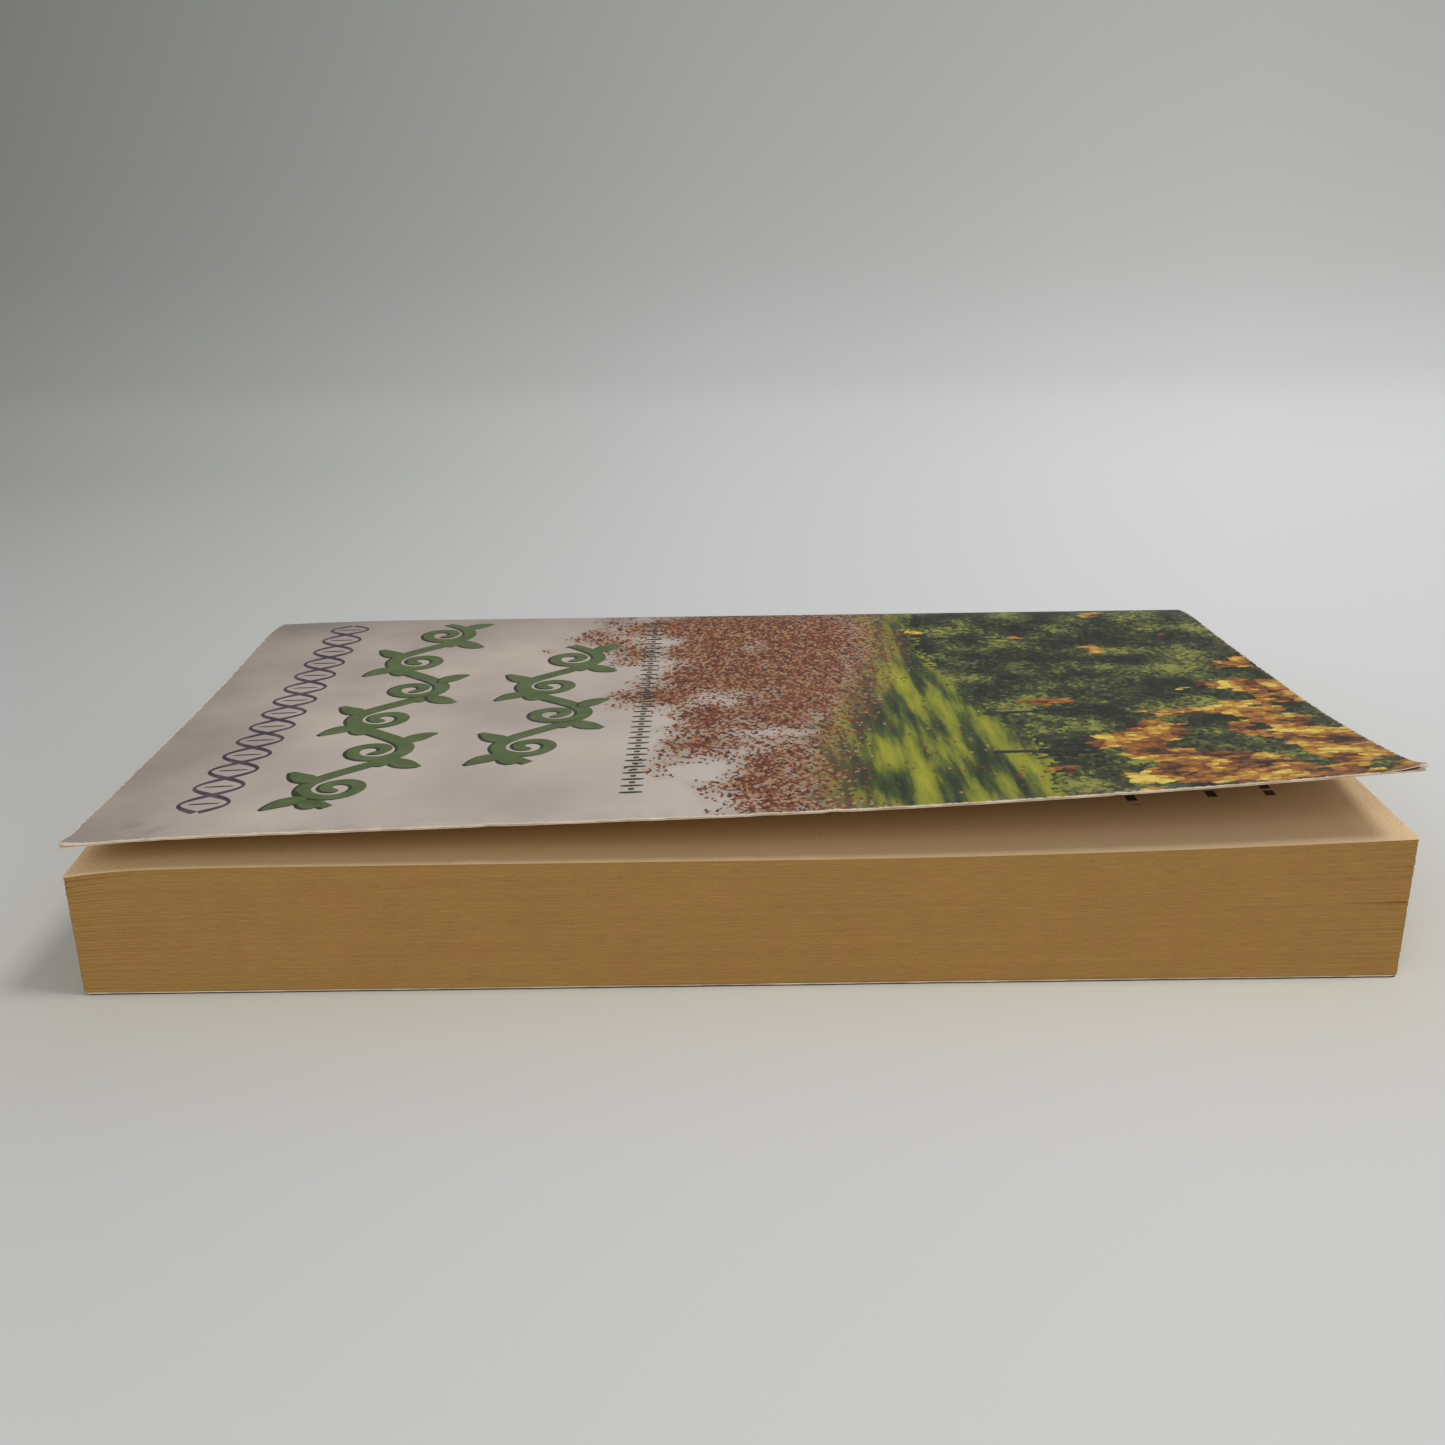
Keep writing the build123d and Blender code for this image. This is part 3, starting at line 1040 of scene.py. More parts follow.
@dataclass
class Ornament:
    """Generic ornament of the front cover: two vine scrolls, a twisted line, beads, and bare trees."""

    form: BookForm
    # For each scroll the band's middle along the book, its two ends, its waves and their swing
    scrolls: tuple[tuple[float, float, float, int, float], ...] = (
        (-53.0, 6.0, 98.0, 3, 5.4),
        (-28.6, 21.0, 83.0, 2, 5.6),
    )
    shadow_shift: Span = (-0.34, 0.3)
    shadow_half: float = 0.14
    shadow_lower: float = 0.007
    # The twisted line: place along the book, ends, length of a wave, swing, strands and cross bars
    twist_at: float = -70.6
    twist_ends: Span = (6.0, 98.0)
    twist_wave: float = 13.14
    twist_swing: float = 3.3
    twist_points: int = 420
    strand_half: float = 0.24
    strand_swell: float = 0.3
    bars: int = 14
    bar: Span = (2.3, 0.26)
    # The row of beads: place along the book, ends and step, and length and half width of each kind
    beads_at: float = -14.0
    beads_span: Span = (8.0, 97.0, 1.3)
    bead_kinds: tuple[Span, Span] = ((1.75, 0.36), (0.5, 0.4))
    bead_points: int = 13
    # For each tree its foot along and across the book, its height, and how far its top leans
    trees: tuple[Span, ...] = ((33.0, 21.0, 27.0, 4.0), (36.5, 67.0, 21.0, -3.0), (35.0, 86.0, 15.0, 2.0))
    tree_points: int = 40
    forks: Span = (0.35, 0.5, 0.62, 0.76)
    bough_share: float = 0.62
    # Half widths of a trunk and of a bough: at the foot over that at the tip, how it thins, at the tip
    trunk: Span = (0.55, 0.7, 0.08)
    bough: Span = (0.26, 0.8, 0.05)

    def bead(self, along: float, across: float, length: float, half: float) -> Line:
        """A round or long bead: its half width is a half circle over its length along the book."""
        share = np.linspace(0, 1, self.bead_points)
        path = np.stack([along + length * (2 * share - 1), np.full(len(share), across)], -1)
        return path, half * np.sqrt(np.maximum(1 - (2 * share - 1) ** 2, 0))

    def twist(self) -> list[Line]:
        """Two thin strands that cross like a twisted cord, opposite sine waves, with bars between."""
        low, high = self.twist_ends
        way = np.linspace(low, high, self.twist_points)
        phase = 2 * np.pi * (way - low) / self.twist_wave
        half = self.strand_half + self.strand_swell * np.abs(np.cos(phase)) ** 1.5
        swing = self.twist_swing * np.sin(phase)
        strands = [(np.stack([self.twist_at + sign * swing, way], -1), half) for sign in (-1, 1)]
        middles = (low + self.twist_wave * (k + 0.5) / 2 for k in range(self.bars))
        return strands + [self.bead(self.twist_at, middle, *self.bar) for middle in middles]

    def beads(self) -> list[Line]:
        """A row of long beads with a dot between each two."""
        places = enumerate(np.arange(*self.beads_span))
        return [self.bead(self.beads_at, across, *self.bead_kinds[k % 2]) for k, across in places]

    def tree(self, root: float, across: float, length: float, lean: float) -> list[Line]:
        """A slender forked trunk: the bole bends by the square of the way, and boughs fork off in turn."""
        share = np.linspace(0, 1, self.tree_points)
        kinds = (self.trunk, self.bough)
        trunk, bough = (foot * (1 - share) ** power + tip for foot, power, tip in kinds)
        lines = [(np.stack([root + length * share, across + lean * share**2], -1), trunk)]
        for k, fork in enumerate(self.forks):
            side = 1 - 2 * (k % 2)
            foot = np.array([root + length * fork, across + lean * fork**2])
            reach = length * (1 - fork) * self.bough_share
            out = np.stack([reach * share, side * reach * (0.75 * share - 0.25 * share**2)], -1)
            lines.append((foot + out, bough))
        return lines

    def build(self, dress: "Finishes") -> list[Piece]:
        """Lay all lines on the cover, the dark under-edge of the scrolls first."""
        lay = InkRibbons(self.form).lay
        scroll = [line for band in self.scrolls for line in VineScroll(*band).lines()]
        shadow = [(path + np.array(self.shadow_shift), half + self.shadow_half) for path, half in scroll]
        trees = [line for tree in self.trees for line in self.tree(*tree)]
        return [
            lay("vine_shadow", shadow, dress.outline_ink, self.shadow_lower),
            lay("vine_scroll", scroll, dress.green_ink),
            lay("twisted_line", self.twist(), dress.purple_ink),
            lay("bead_row", self.beads(), dress.outline_ink),
            lay("tree_trunks", trees, dress.bark_ink),
        ]


@dataclass
class TornFibres:
    """White pulp fibres that stand out where the head corner of the cover is torn.

    Each path starts on the corner's edge, goes outwards by a share of its length and bends sideways
    and up by the square of the way. Its radius falls to nothing at both ends.
    """

    form: BookForm
    count: int = 26
    points: int = 9
    sides: int = 5
    half: float = 0.035
    # Where a fibre starts: inside the edge by this, and from the corner's tip by one of these
    inside: float = 0.25
    from_tip: Span = (0.1, 1.5)
    lengths: Span = (0.35, 1.0)
    # Shares of its length that it goes out over the head, and over the fore-edge from either side
    over_head: float = 0.3
    over_edge: Span = (0.25, 0.45)
    # Shares that it bends sideways and up, and the shares of the peel and the card that it starts at
    sideways: Span = (-0.5, 0.25)
    upwards: Span = (-0.3, 0.2)
    peel_share: Span = (0.05, 0.95)
    card_share: float = 0.7
    seed: int = 17

    def paths(self) -> Array:
        """Paths of all fibres, (count, points, 3)."""
        form, rng = self.form, np.random.default_rng(self.seed)
        each = (self.count, 1)
        corner = form.fore_edge(np.array([form.head]))[0]
        side = rng.uniform(-1, 1, each)
        at_head = side > 0
        way = np.linspace(0, 1, self.points)
        length = rng.uniform(*self.lengths, each)
        from_tip = rng.uniform(*self.from_tip, each)
        x = form.head - np.where(at_head, self.inside, from_tip)
        x = x - self.over_head * length * way * at_head * side
        y = corner + np.where(at_head, from_tip, self.inside)
        y = y - length * way * np.where(at_head, *self.over_edge)
        x = np.minimum(x + rng.uniform(*self.sideways, each) * length * way**2, form.head)
        rise = rng.uniform(*self.peel_share, each) * form.peel(x[:, :1], y[:, :1])
        rise += form.card * self.card_share
        z = form.card_level(x, y) + rise + rng.uniform(*self.upwards, each) * length * way**2
        return np.stack([x, y, z], -1)

    def build(self, dress: "Finishes") -> Piece:
        """Make the strands: tubes round their paths, each ring across the path's direction."""
        centre = self.paths()
        tangent = np.gradient(centre, axis=1)
        tangent /= np.linalg.norm(tangent, axis=2, keepdims=True)
        first = np.cross(tangent, [0.0, 0.1, 1.0])
        first /= np.linalg.norm(first, axis=2, keepdims=True)
        second = np.cross(tangent, first)
        angle = np.linspace(0, 2 * np.pi, self.sides + 1)[:, None]
        ring = first[:, :, None] * np.cos(angle) + second[:, :, None] * np.sin(angle)
        radius = self.half * np.sin(np.pi * np.linspace(0, 1, self.points))[:, None, None]
        return laid_on_cover("torn_fibres", list(centre[:, :, None] + radius * ring), dress.edge)


@dataclass(frozen=True)
class Cells:
    """Small random cells of the print, as sockets that hold one value all over a cell.

    They tell its middle and its two parts, two random numbers, and how far a point is from it.
    """

    middle: Node
    along: Socket
    across: Socket
    first: Socket
    second: Socket
    far: Socket


@dataclass(frozen=True)
class OnPrint:
    """Where a point lies on the flat print, and the two noises that its motifs share."""

    add: partial
    flat: Node
    along: Socket
    across: Socket
    brisk: Node
    fine: Node

    def cells(self, flat: Node, size_mm: float, stretch: float) -> Cells:
        """Divide a flat place into cells of a mean width across the book, and stretched along it."""
        add = self.add
        squeezed = add(Kind.VECTOR, (flat, (1 / stretch, 1.0, 1.0)), operation="MULTIPLY")
        cell = add(Kind.VORONOI, {"Vector": squeezed, "Scale": 1 / size_mm})
        middle = add(Kind.VECTOR, (cell.outputs["Position"], (stretch, 1.0, 1.0)), operation="MULTIPLY")
        parts = add(Kind.SPLIT, (middle,)).outputs
        numbers = add(Kind.SPLIT, (cell.outputs["Color"],)).outputs
        return Cells(middle, parts["X"], parts["Y"], numbers["X"], numbers["Y"], cell.outputs["Distance"])

    def rolling(self, place: "Cells | OnPrint", height: float) -> Node:
        """Place along the book, moved by a wave across it: along plus height times a sine, 150 mm long."""
        turn = self.add(Kind.MATH, (place.across, 1 / 24, 0.8), operation="MULTIPLY_ADD")
        wave = self.add(Kind.MATH, (turn,), operation="SINE")
        return self.add(Kind.MATH, (wave, height, place.along), operation="MULTIPLY_ADD")


@dataclass(frozen=True)
class PrintedBoard:
    """Bleached board printed in four colours under a thin worn varnish: the outside of the cover.

    The print is a plain pale ground with, towards the head, drifts of fallen leaves, a meadow and an
    autumn wood, all made of small cells of colour. The worn varnish gives it hardly any shine, and
    where edges are rubbed the white of the board comes through.
    """

    ground: Stops = ((0.3, "#a99c93"), (0.5, "#b4a79d"), (0.7, "#beb1a5"))
    # Colour of the mist, and also of the pale patch of painted light
    mist: str = "#bcb3aa"
    litter: Stops = (
        (0.0, "#371f17"), (0.2, "#633425"), (0.38, "#7f452c"), (0.52, "#553022"),
        (0.66, "#925a36"), (0.78, "#976f50"), (0.9, "#ab8b66"), (1.0, "#6d3c27"),
    )
    grass: Stops = (
        (0.34, "#222f1c"), (0.44, "#424f22"), (0.52, "#6f7822"), (0.64, "#909027"), (0.8, "#a8aa33"),
    )
    wood: Stops = (
        (0.1, "#14170f"), (0.34, "#282d1a"), (0.54, "#3f4526"), (0.72, "#5b612f"), (0.95, "#8a8c3e"),
    )
    gold: Stops = (
        (0.0, "#25170b"), (0.22, "#56321a"), (0.42, "#855022"),
        (0.6, "#a8702a"), (0.8, "#c69b36"), (1.0, "#dcc75e"),
    )
    bare_board: str = "#cdbfac"
    grime: str = "#857a6e"
    trodden: str = "#7d634b"
    # Middle of the pale patch of painted light on the ground
    painted_light_at: Span = (-44.0, 82.0, 0.0)
    scuff_at: Span = (-77.0, 102.5, 0.0)
    # How far a leaf's outline is shaken, and its size and stretch in the drifts, wood and gold
    shake: Span = (0.8, 0.8, 0.0)
    litter_cell: Span = (0.62, 0.6)
    wood_cell: Span = (0.75, 1.0)
    gold_cell: Span = (0.95, 1.7)
    wood_from: float = 38.5
    roughness: float = 0.45

    def build(self) -> Finish:
        """Make the material.

        The whole print lies in cells: what one shows is decided at its middle, so no leaf is cut.
        """
        material, add = new_material("varnished_printed_board")
        flat = add(Kind.UV)
        place = add(Kind.SPLIT, (flat,)).outputs
        brisk = add(Kind.NOISE, {"Vector": flat, "Scale": 1 / 4, "Detail": 4.0})
        fine = add(Kind.NOISE, {"Vector": flat, "Scale": 1 / 0.7, "Detail": 3.0})
        on = OnPrint(add, flat, place["X"], place["Y"], brisk, fine)
        slow = add(Kind.NOISE, {"Vector": flat, "Scale": 1 / 22, "Detail": 3.0})
        paper = add(Kind.RAMP, (slow,), stops=self.ground)
        jitter = add(Kind.NOISE, {"Vector": flat, "Scale": 1 / 0.6, "Detail": 1.0}).outputs["Color"]
        shaken = add(Kind.VECTOR, (jitter, self.shake, flat), operation="MULTIPLY_ADD")
        kinds = (self.litter_cell, self.wood_cell, self.gold_cell)
        small, leafy, large = (on.cells(shaken, *kind) for kind in kinds)
        colour = self.clouded(on, paper)
        colour = self.meadow(on, colour)
        colour = self.drifts(on, colour, small)
        edge = on.rolling(leafy, 5.0)
        jagged = add(Kind.MATH, (leafy.first, 3.0, edge), operation="MULTIPLY_ADD")
        in_wood = add(Kind.MATH, (jagged, self.wood_from), operation="GREATER_THAN")
        colour = self.boughs(on, colour, leafy, in_wood)
        colour = self.turned(on, colour, large, in_wood)
        # Back cover and spine stay plain
        colour = lay_over(add, paper, colour, on.across, 0.0, 0.8)
        colour = self.wear(on, colour)
        rough = add(Kind.RANGE, (fine, 0.0, 1.0, self.roughness - 0.06, self.roughness + 0.08))
        mottle = add(Kind.NOISE, {"Vector": flat, "Scale": 1 / 2.4, "Detail": 2.0})
        coat(add, colour, rough, 0.16, (mottle, 0.06, 0.2))
        return material

    def clouded(self, on: OnPrint, paper: Node) -> Node:
        """Pale ground: painted shade darkens it to the tail and the spine, mist lies towards the head, and a
        pale patch of painted light lies round one place.
        """
        add, smooth = on.add, {"interpolation_type": "SMOOTHSTEP"}
        # Painted shade: the ground darkens towards the tail end and towards the spine
        tail_painted_shade = add(Kind.RANGE, (on.along, -86.0, -55.0, 0.72, 1.0), **smooth)
        spine_painted_shade = add(Kind.RANGE, (on.across, 0.0, 34.0, 0.8, 1.0), **smooth)
        painted_shade = add(Kind.MATH, (tail_painted_shade, spine_painted_shade), operation="MULTIPLY")
        ground_with_painted_shade = add(Kind.MIX, {"Factor": 1.0, "A": paper, "B": painted_shade}, blend_type="MULTIPLY")
        to_head = add(Kind.RANGE, (on.along, -30.0, -4.0, 0.0, 0.7))
        # Painted light: the ground turns paler round one place
        away = add(Kind.VECTOR, (on.flat, self.painted_light_at), operation="DISTANCE")
        painted_light_patch = add(Kind.RANGE, (away, 34.0, 8.0, 0.0, 0.2), **smooth)
        mist_and_painted_light = add(Kind.MATH, (to_head, painted_light_patch), operation="MAXIMUM")
        return add(Kind.MIX, {"Factor": mist_and_painted_light, "A": ground_with_painted_shade, "B": self.mist})

    def meadow(self, on: OnPrint, colour: Node) -> Node:
        """Meadow: long streaks of shade lie across a rolling field with a ragged edge."""
        add = on.add
        ragged = add(Kind.RANGE, (on.brisk, 0.2, 0.8, -3.0, 3.0))
        line = add(Kind.MATH, (on.rolling(on, -7.0), ragged), operation="ADD")
        stretched = add(Kind.VECTOR, (on.flat, (1 / 3.2, 1 / 26, 1.0)), operation="MULTIPLY")
        streaks = add(Kind.NOISE, {"Vector": stretched, "Scale": 1.0, "Detail": 5.0, "Roughness": 0.55})
        return lay_over(add, colour, add(Kind.RAMP, (streaks,), stops=self.grass), line, 14.0, 18.0)

    def drifts(self, on: OnPrint, colour: Node, cells: Cells) -> Node:
        """Fallen leaves: thick in drifts, with pale openings, and thinning out over the grass."""
        add = on.add
        patchy = add(Kind.NOISE, {"Vector": cells.middle, "Scale": 1 / 15, "Detail": 2.0})
        drift = add(Kind.MATH, (patchy, 62.0, on.rolling(cells, 9.0)), operation="MULTIPLY_ADD")
        thick = add(Kind.RANGE, (drift, 15.0, 34.0))
        thin = add(Kind.RANGE, (on.rolling(cells, -7.0), 12.0, 26.0, 0.96, 0.03))
        chance = add(Kind.MATH, (thick, thin), operation="MULTIPLY")
        bed = add(Kind.MATH, (chance, 0.75), operation="MULTIPLY")
        colour = add(Kind.MIX, {"Factor": bed, "A": colour, "B": self.trodden})
        fallen = add(Kind.MATH, (cells.first, chance), operation="LESS_THAN")
        litter = add(Kind.RAMP, (cells.second,), stops=self.litter)
        return add(Kind.MIX, {"Factor": fallen, "A": colour, "B": litter})

    def boughs(self, on: OnPrint, colour: Node, cells: Cells, in_wood: Node) -> Node:
        """Wood: dark masses and lit boughs a centimetre across, broken up into leaves."""
        add = on.add
        masses = add(Kind.NOISE, {"Vector": cells.middle, "Scale": 1 / 10, "Detail": 2.5})
        tone = add(Kind.MATH, (masses, 1.8, -1.22), operation="MULTIPLY_ADD")
        tone = add(Kind.MATH, (cells.second, 0.5, tone), operation="MULTIPLY_ADD")
        tone = add(Kind.MATH, (on.fine, tone), operation="ADD")
        wood = add(Kind.RAMP, (tone,), stops=self.wood)
        return add(Kind.MIX, {"Factor": in_wood, "A": colour, "B": wood})

    def turned(self, on: OnPrint, colour: Node, cells: Cells, in_wood: Node) -> Node:
        """Turned leaves: clumps along a belt that slants from the meadow to the head corner."""
        add = on.add
        belt = add(Kind.MATH, (cells.across, 0.62, cells.along), operation="MULTIPLY_ADD")
        near = add(Kind.RANGE, (belt, 78.0, 132.0, -0.2, 0.14))
        clump = add(Kind.NOISE, {"Vector": cells.middle, "Scale": 1 / 13, "Detail": 1.5})
        clump = add(Kind.MATH, (clump, near), operation="ADD")
        gilded = add(Kind.MATH, (clump, 0.55), operation="GREATER_THAN")
        gilded = add(Kind.MATH, (gilded, in_wood), operation="MULTIPLY")
        light = add(Kind.NOISE, {"Vector": cells.middle, "Scale": 1 / 5, "Detail": 1.0})
        hue = add(Kind.MATH, (light, 1.5, -0.5), operation="MULTIPLY_ADD")
        for value, share in ((cells.first, 0.5), (cells.far, -0.3), (on.fine, 0.3)):
            hue = add(Kind.MATH, (value, share, hue), operation="MULTIPLY_ADD")
        gold = add(Kind.RAMP, (hue,), stops=self.gold)
        return add(Kind.MIX, {"Factor": gilded, "A": colour, "B": gold})

    def wear(self, on: OnPrint, colour: Node) -> Node:
        """Grime rubbed in along the free edges, and the bare board within a third of a millimetre."""
        add = on.add
        rim = add(Kind.ATTRIBUTE, attribute_name=RIM).outputs["Fac"]
        handled = add(Kind.RANGE, (rim, 4.5, 0.4, 0.0, 0.22))
        from_scuff = add(Kind.VECTOR, (on.flat, self.scuff_at), operation="DISTANCE")
        scuffed = add(Kind.RANGE, (from_scuff, 6.0, 1.0, 0.0, 0.6))
        handled = add(Kind.MATH, (handled, scuffed), operation="MAXIMUM")
        spots = add(Kind.RANGE, (on.brisk, 0.45, 0.66))
        soiled = add(Kind.MATH, (handled, spots), operation="MULTIPLY")
        colour = add(Kind.MIX, {"Factor": soiled, "A": colour, "B": self.grime})
        eaten = add(Kind.MATH, (on.fine, -0.9, rim), operation="MULTIPLY_ADD")
        return lay_over(add, colour, self.bare_board, eaten, -0.05, -0.22)


@dataclass(frozen=True)
class BoardPulp:
    """Torn and rubbed edge of the board: soft white pulp, a little soiled.

    On the front cover, above `handled_mm`, its plies part here and there, and a dark line of painted shade
    for the gap between them runs along the middle of the edge. Up to about a fifth of a millimetre above
    the table the edge is painted dark, as a painted contact shadow where the back cover meets the table.
    """

    clean: str = "#d3c2aa"
    soiled: str = "#ab9579"
    # Colour of the painted contact shadow at the foot of the edge
    contact_shadow_colour: str = "#261f16"
    # Colour of the painted shade in the gap between the plies
    ply_gap_shade: str = "#7c6346"
    soil_mm: float = 4.0
    fibre_mm: float = 0.3
    # Height of the painted contact shadow above the table, and the blur of its top
    painted_shadow_mm: float = 0.21
    painted_shadow_blur_mm: float = 0.02
    handled_mm: float = 5.0

    def build(self) -> Finish:
        """Make the material."""
        material, add = new_material("rubbed_board_edge")
        place = add(Kind.COORDINATES).outputs["Object"]
        solid = {"noise_dimensions": "3D"}
        soil = add(Kind.NOISE, {"Vector": place, "Scale": 1 / (self.soil_mm * MM), "Detail": 3.0}, **solid)
        fibre = add(Kind.NOISE, {"Vector": place, "Scale": 1 / (self.fibre_mm * MM), "Detail": 2.0}, **solid)
        colour = lay_over(add, self.clean, self.soiled, soil, 0.42, 0.68)
        # The line of painted shade wanders about the middle of the edge, and fades in to both its sides
        depth = add(Kind.ATTRIBUTE, attribute_name=DEPTH).outputs["Fac"]
        wander = add(Kind.MATH, (soil, 0.8, depth), operation="MULTIPLY_ADD")
        off = add(Kind.MATH, (wander, 0.9), operation="SUBTRACT")
        off = add(Kind.MATH, (off,), operation="ABSOLUTE")
        parted = add(Kind.RANGE, (off, 0.16, 0.06, 0.0, 0.75))
        height = add(Kind.SPLIT, (place,)).outputs["Z"]
        handled = add(Kind.MATH, (height, self.handled_mm * MM), operation="GREATER_THAN")
        parted = add(Kind.MATH, (parted, handled), operation="MULTIPLY")
        colour = add(Kind.MIX, {"Factor": parted, "A": colour, "B": self.ply_gap_shade})
        # Painted contact shadow: the edge is dark near the table
        unshadowed_from, painted_shadow_to = self.painted_shadow_mm + self.painted_shadow_blur_mm, self.painted_shadow_mm - self.painted_shadow_blur_mm
        colour = lay_over(add, colour, self.contact_shadow_colour, height, unshadowed_from * MM, painted_shadow_to * MM)
        coat(add, colour, 0.9, 0.25, (fibre, 0.4, 0.08))
        return material


@dataclass(frozen=True)
class BoardInside:
    """Uncoated back of the board: matt off-white, yellowed, with a faint fibre mottle."""

    fresh: str = "#e4c99c"
    yellowed: str = "#dbbb88"

    def build(self) -> Finish:
        """Make the material."""
        material, add = new_material("uncoated_board")
        flat = add(Kind.UV)
        cloud = add(Kind.NOISE, {"Vector": flat, "Scale": 1 / 24, "Detail": 3.0})
        fibre = add(Kind.NOISE, {"Vector": flat, "Scale": 1 / 0.5, "Detail": 3.0})
        colour = lay_over(add, self.fresh, self.yellowed, cloud, 0.15, 0.85)
        coat(add, colour, 0.85, 0.3, (fibre, 0.15, 0.1))
        return material


@dataclass(frozen=True)
class TrimmedPulpEdge:
    """Guillotined edges of groundwood leaves, browned by light: dull mustard with leaf-fine lines.

    Short lines a leaf or two high run the length of the block, between slow olive and red-brown
    blotches and a fine grain of torn fibres, as on the edges of any old pulp paper.
    """

    tones: Stops = ((0.3, "#96743e"), (0.5, "#98743e"), (0.7, "#9b7540"))
    rust: str = "#9a6d3d"
    dark_line: str = "#6c5029"
    pale_line: str = "#b08d55"
    line_mm: Span = (2.6, 0.14)
    blotch_shift: Span = (57.0, 31.0, 0.0)

    def build(self) -> Finish:
        """Make the material."""
        material, add = new_material("trimmed_groundwood_paper")
        flat = add(Kind.UV)
        cloud = add(Kind.NOISE, {"Vector": flat, "Scale": 1 / 9, "Detail": 4.0})
        colour = add(Kind.RAMP, (cloud,), stops=self.tones)
        shifted = add(Kind.VECTOR, (flat, self.blotch_shift), operation="ADD")
        blotch = add(Kind.NOISE, {"Vector": shifted, "Scale": 1 / 7, "Detail": 5.0, "Roughness": 0.6})
        colour = lay_over(add, colour, self.rust, blotch, 0.48, 0.7, 0.4)
        long, high = self.line_mm
        drawn = add(Kind.VECTOR, (flat, (1 / long, 1 / high, 1.0)), operation="MULTIPLY")
        line = add(Kind.NOISE, {"Vector": drawn, "Scale": 1.0, "Detail": 3.0, "Roughness": 0.6})
        colour = lay_over(add, colour, self.dark_line, line, 0.5, 0.75, 0.27)
        colour = lay_over(add, colour, self.pale_line, line, 0.46, 0.24, 0.22)
        grain = add(Kind.NOISE, {"Vector": flat, "Scale": 1 / 0.25, "Detail": 2.0})
        colour = lay_over(add, colour, self.pale_line, grain, 0.55, 0.8, 0.45)
        coat(add, colour, 0.88, 0.2, (line, 0.35, 0.06))
        return material


@dataclass(frozen=True)
class PulpPage:
    """First page: rough cream groundwood paper, with painted light: less yellow towards the head and the
    fore-edge, and a little paler along its trimmed ends.

    Greeked bars stand for a few printed lines: dark, a letter's height wide, with no lettering. A line
    is cut into words of uneven length, and stops short of the gutter.
    """

    cream: str = "#caa86f"
    # Colours of painted light: towards the head, along the fore-edge, and near both ends
    painted_head_light: str = "#c1a784"
    painted_fore_edge_light: str = "#c0a989"
    pale: str = "#dcc19b"
    fibre: str = "#b59465"
    ink: str = "#453832"
    head_mm: float = 85.5
    # Where the bars end towards the fore-edge, and the middle of each along the book
    bars: tuple[Span, ...] = ((-33.0, 42.0), (-39.0, 53.4), (-37.2, 64.4), (-37.4, 72.2))
    bar_half_mm: float = 0.7
    gutter_mm: float = 38.0
    row_mm: float = 5.45
    # Length of a word and how much it varies, the share of it that is space, and the variation's length
    word_mm: float = 6.5
    uneven_mm: float = 12.0
    space: float = 0.2
    uneven_over_mm: float = 8.0

    def build(self) -> Finish:
        """Make the material."""
        material, add = new_material("groundwood_page")
        flat = add(Kind.UV)
        place = add(Kind.SPLIT, (flat,)).outputs
        along, across = place["X"], place["Y"]
        fibre = add(Kind.NOISE, {"Vector": flat, "Scale": 1 / 0.45, "Detail": 4.0})
        colour = self.paper(add, flat, along, across)
        colour = lay_over(add, colour, self.fibre, fibre, 0.4, 0.75, 0.4)
        colour = self.printed(add, along, across, colour)
        coat(add, colour, 0.9, 0.2, (fibre, 0.2, 0.08))
        return material

    def paper(self, add: partial, flat: Node, along: Socket, across: Socket) -> Node:
        """Cream paper with painted light: less yellow towards the head and along the fore-edge, and pale at
        both ends.
        """
        colour = lay_over(add, self.cream, self.painted_head_light, along, -10.0, 60.0)
        colour = lay_over(add, colour, self.painted_fore_edge_light, across, -42.0, -53.0, 0.8)
        # Painted light: a pale strip near both ends, with a ragged inner edge
        cloud = add(Kind.NOISE, {"Vector": flat, "Scale": 1 / 20, "Detail": 3.0})
        from_middle = add(Kind.MATH, (along,), operation="ABSOLUTE")
        from_end = add(Kind.MATH, (self.head_mm, from_middle), operation="SUBTRACT")
        nearest = add(Kind.MATH, (cloud, 5.0, from_end), operation="MULTIPLY_ADD")
        return lay_over(add, colour, self.pale, nearest, 9.0, 2.0)

    def printed(self, add: partial, along: Socket, across: Socket, colour: Node) -> Node:
        """The greeked lines: a row's words are cut where a slowly shifted place passes whole words."""
        row = add(Kind.MATH, (along, self.row_mm), operation="SNAP")
        along_row = add(Kind.MATH, (across, 1 / self.uneven_over_mm, row), operation="MULTIPLY_ADD")
        uneven = add(Kind.NOISE, {"W": along_row, "Scale": 1.0, "Detail": 1.0}, noise_dimensions="1D")
        shifted = add(Kind.MATH, (uneven, self.uneven_mm, across), operation="MULTIPLY_ADD")
        words = add(Kind.MATH, (shifted, self.word_mm), operation="DIVIDE")
        share = add(Kind.MATH, (words,), operation="FRACT")
        word = add(Kind.MATH, (share, self.space), operation="GREATER_THAN")
        before = add(Kind.MATH, (across, self.gutter_mm), operation="LESS_THAN")
        word = add(Kind.MATH, (word, before), operation="MULTIPLY")
        for end, middle in self.bars:
            off = add(Kind.MATH, (along, middle), operation="SUBTRACT")
            off = add(Kind.MATH, (off,), operation="ABSOLUTE")
            bar = add(Kind.MATH, (off, self.bar_half_mm), operation="LESS_THAN")
            short = add(Kind.MATH, (across, end), operation="GREATER_THAN")
            inked = add(Kind.MATH, (bar, short), operation="MULTIPLY")
            inked = add(Kind.MATH, (inked, word), operation="MULTIPLY")
            colour = add(Kind.MIX, {"Factor": inked, "A": colour, "B": self.ink})
        return colour


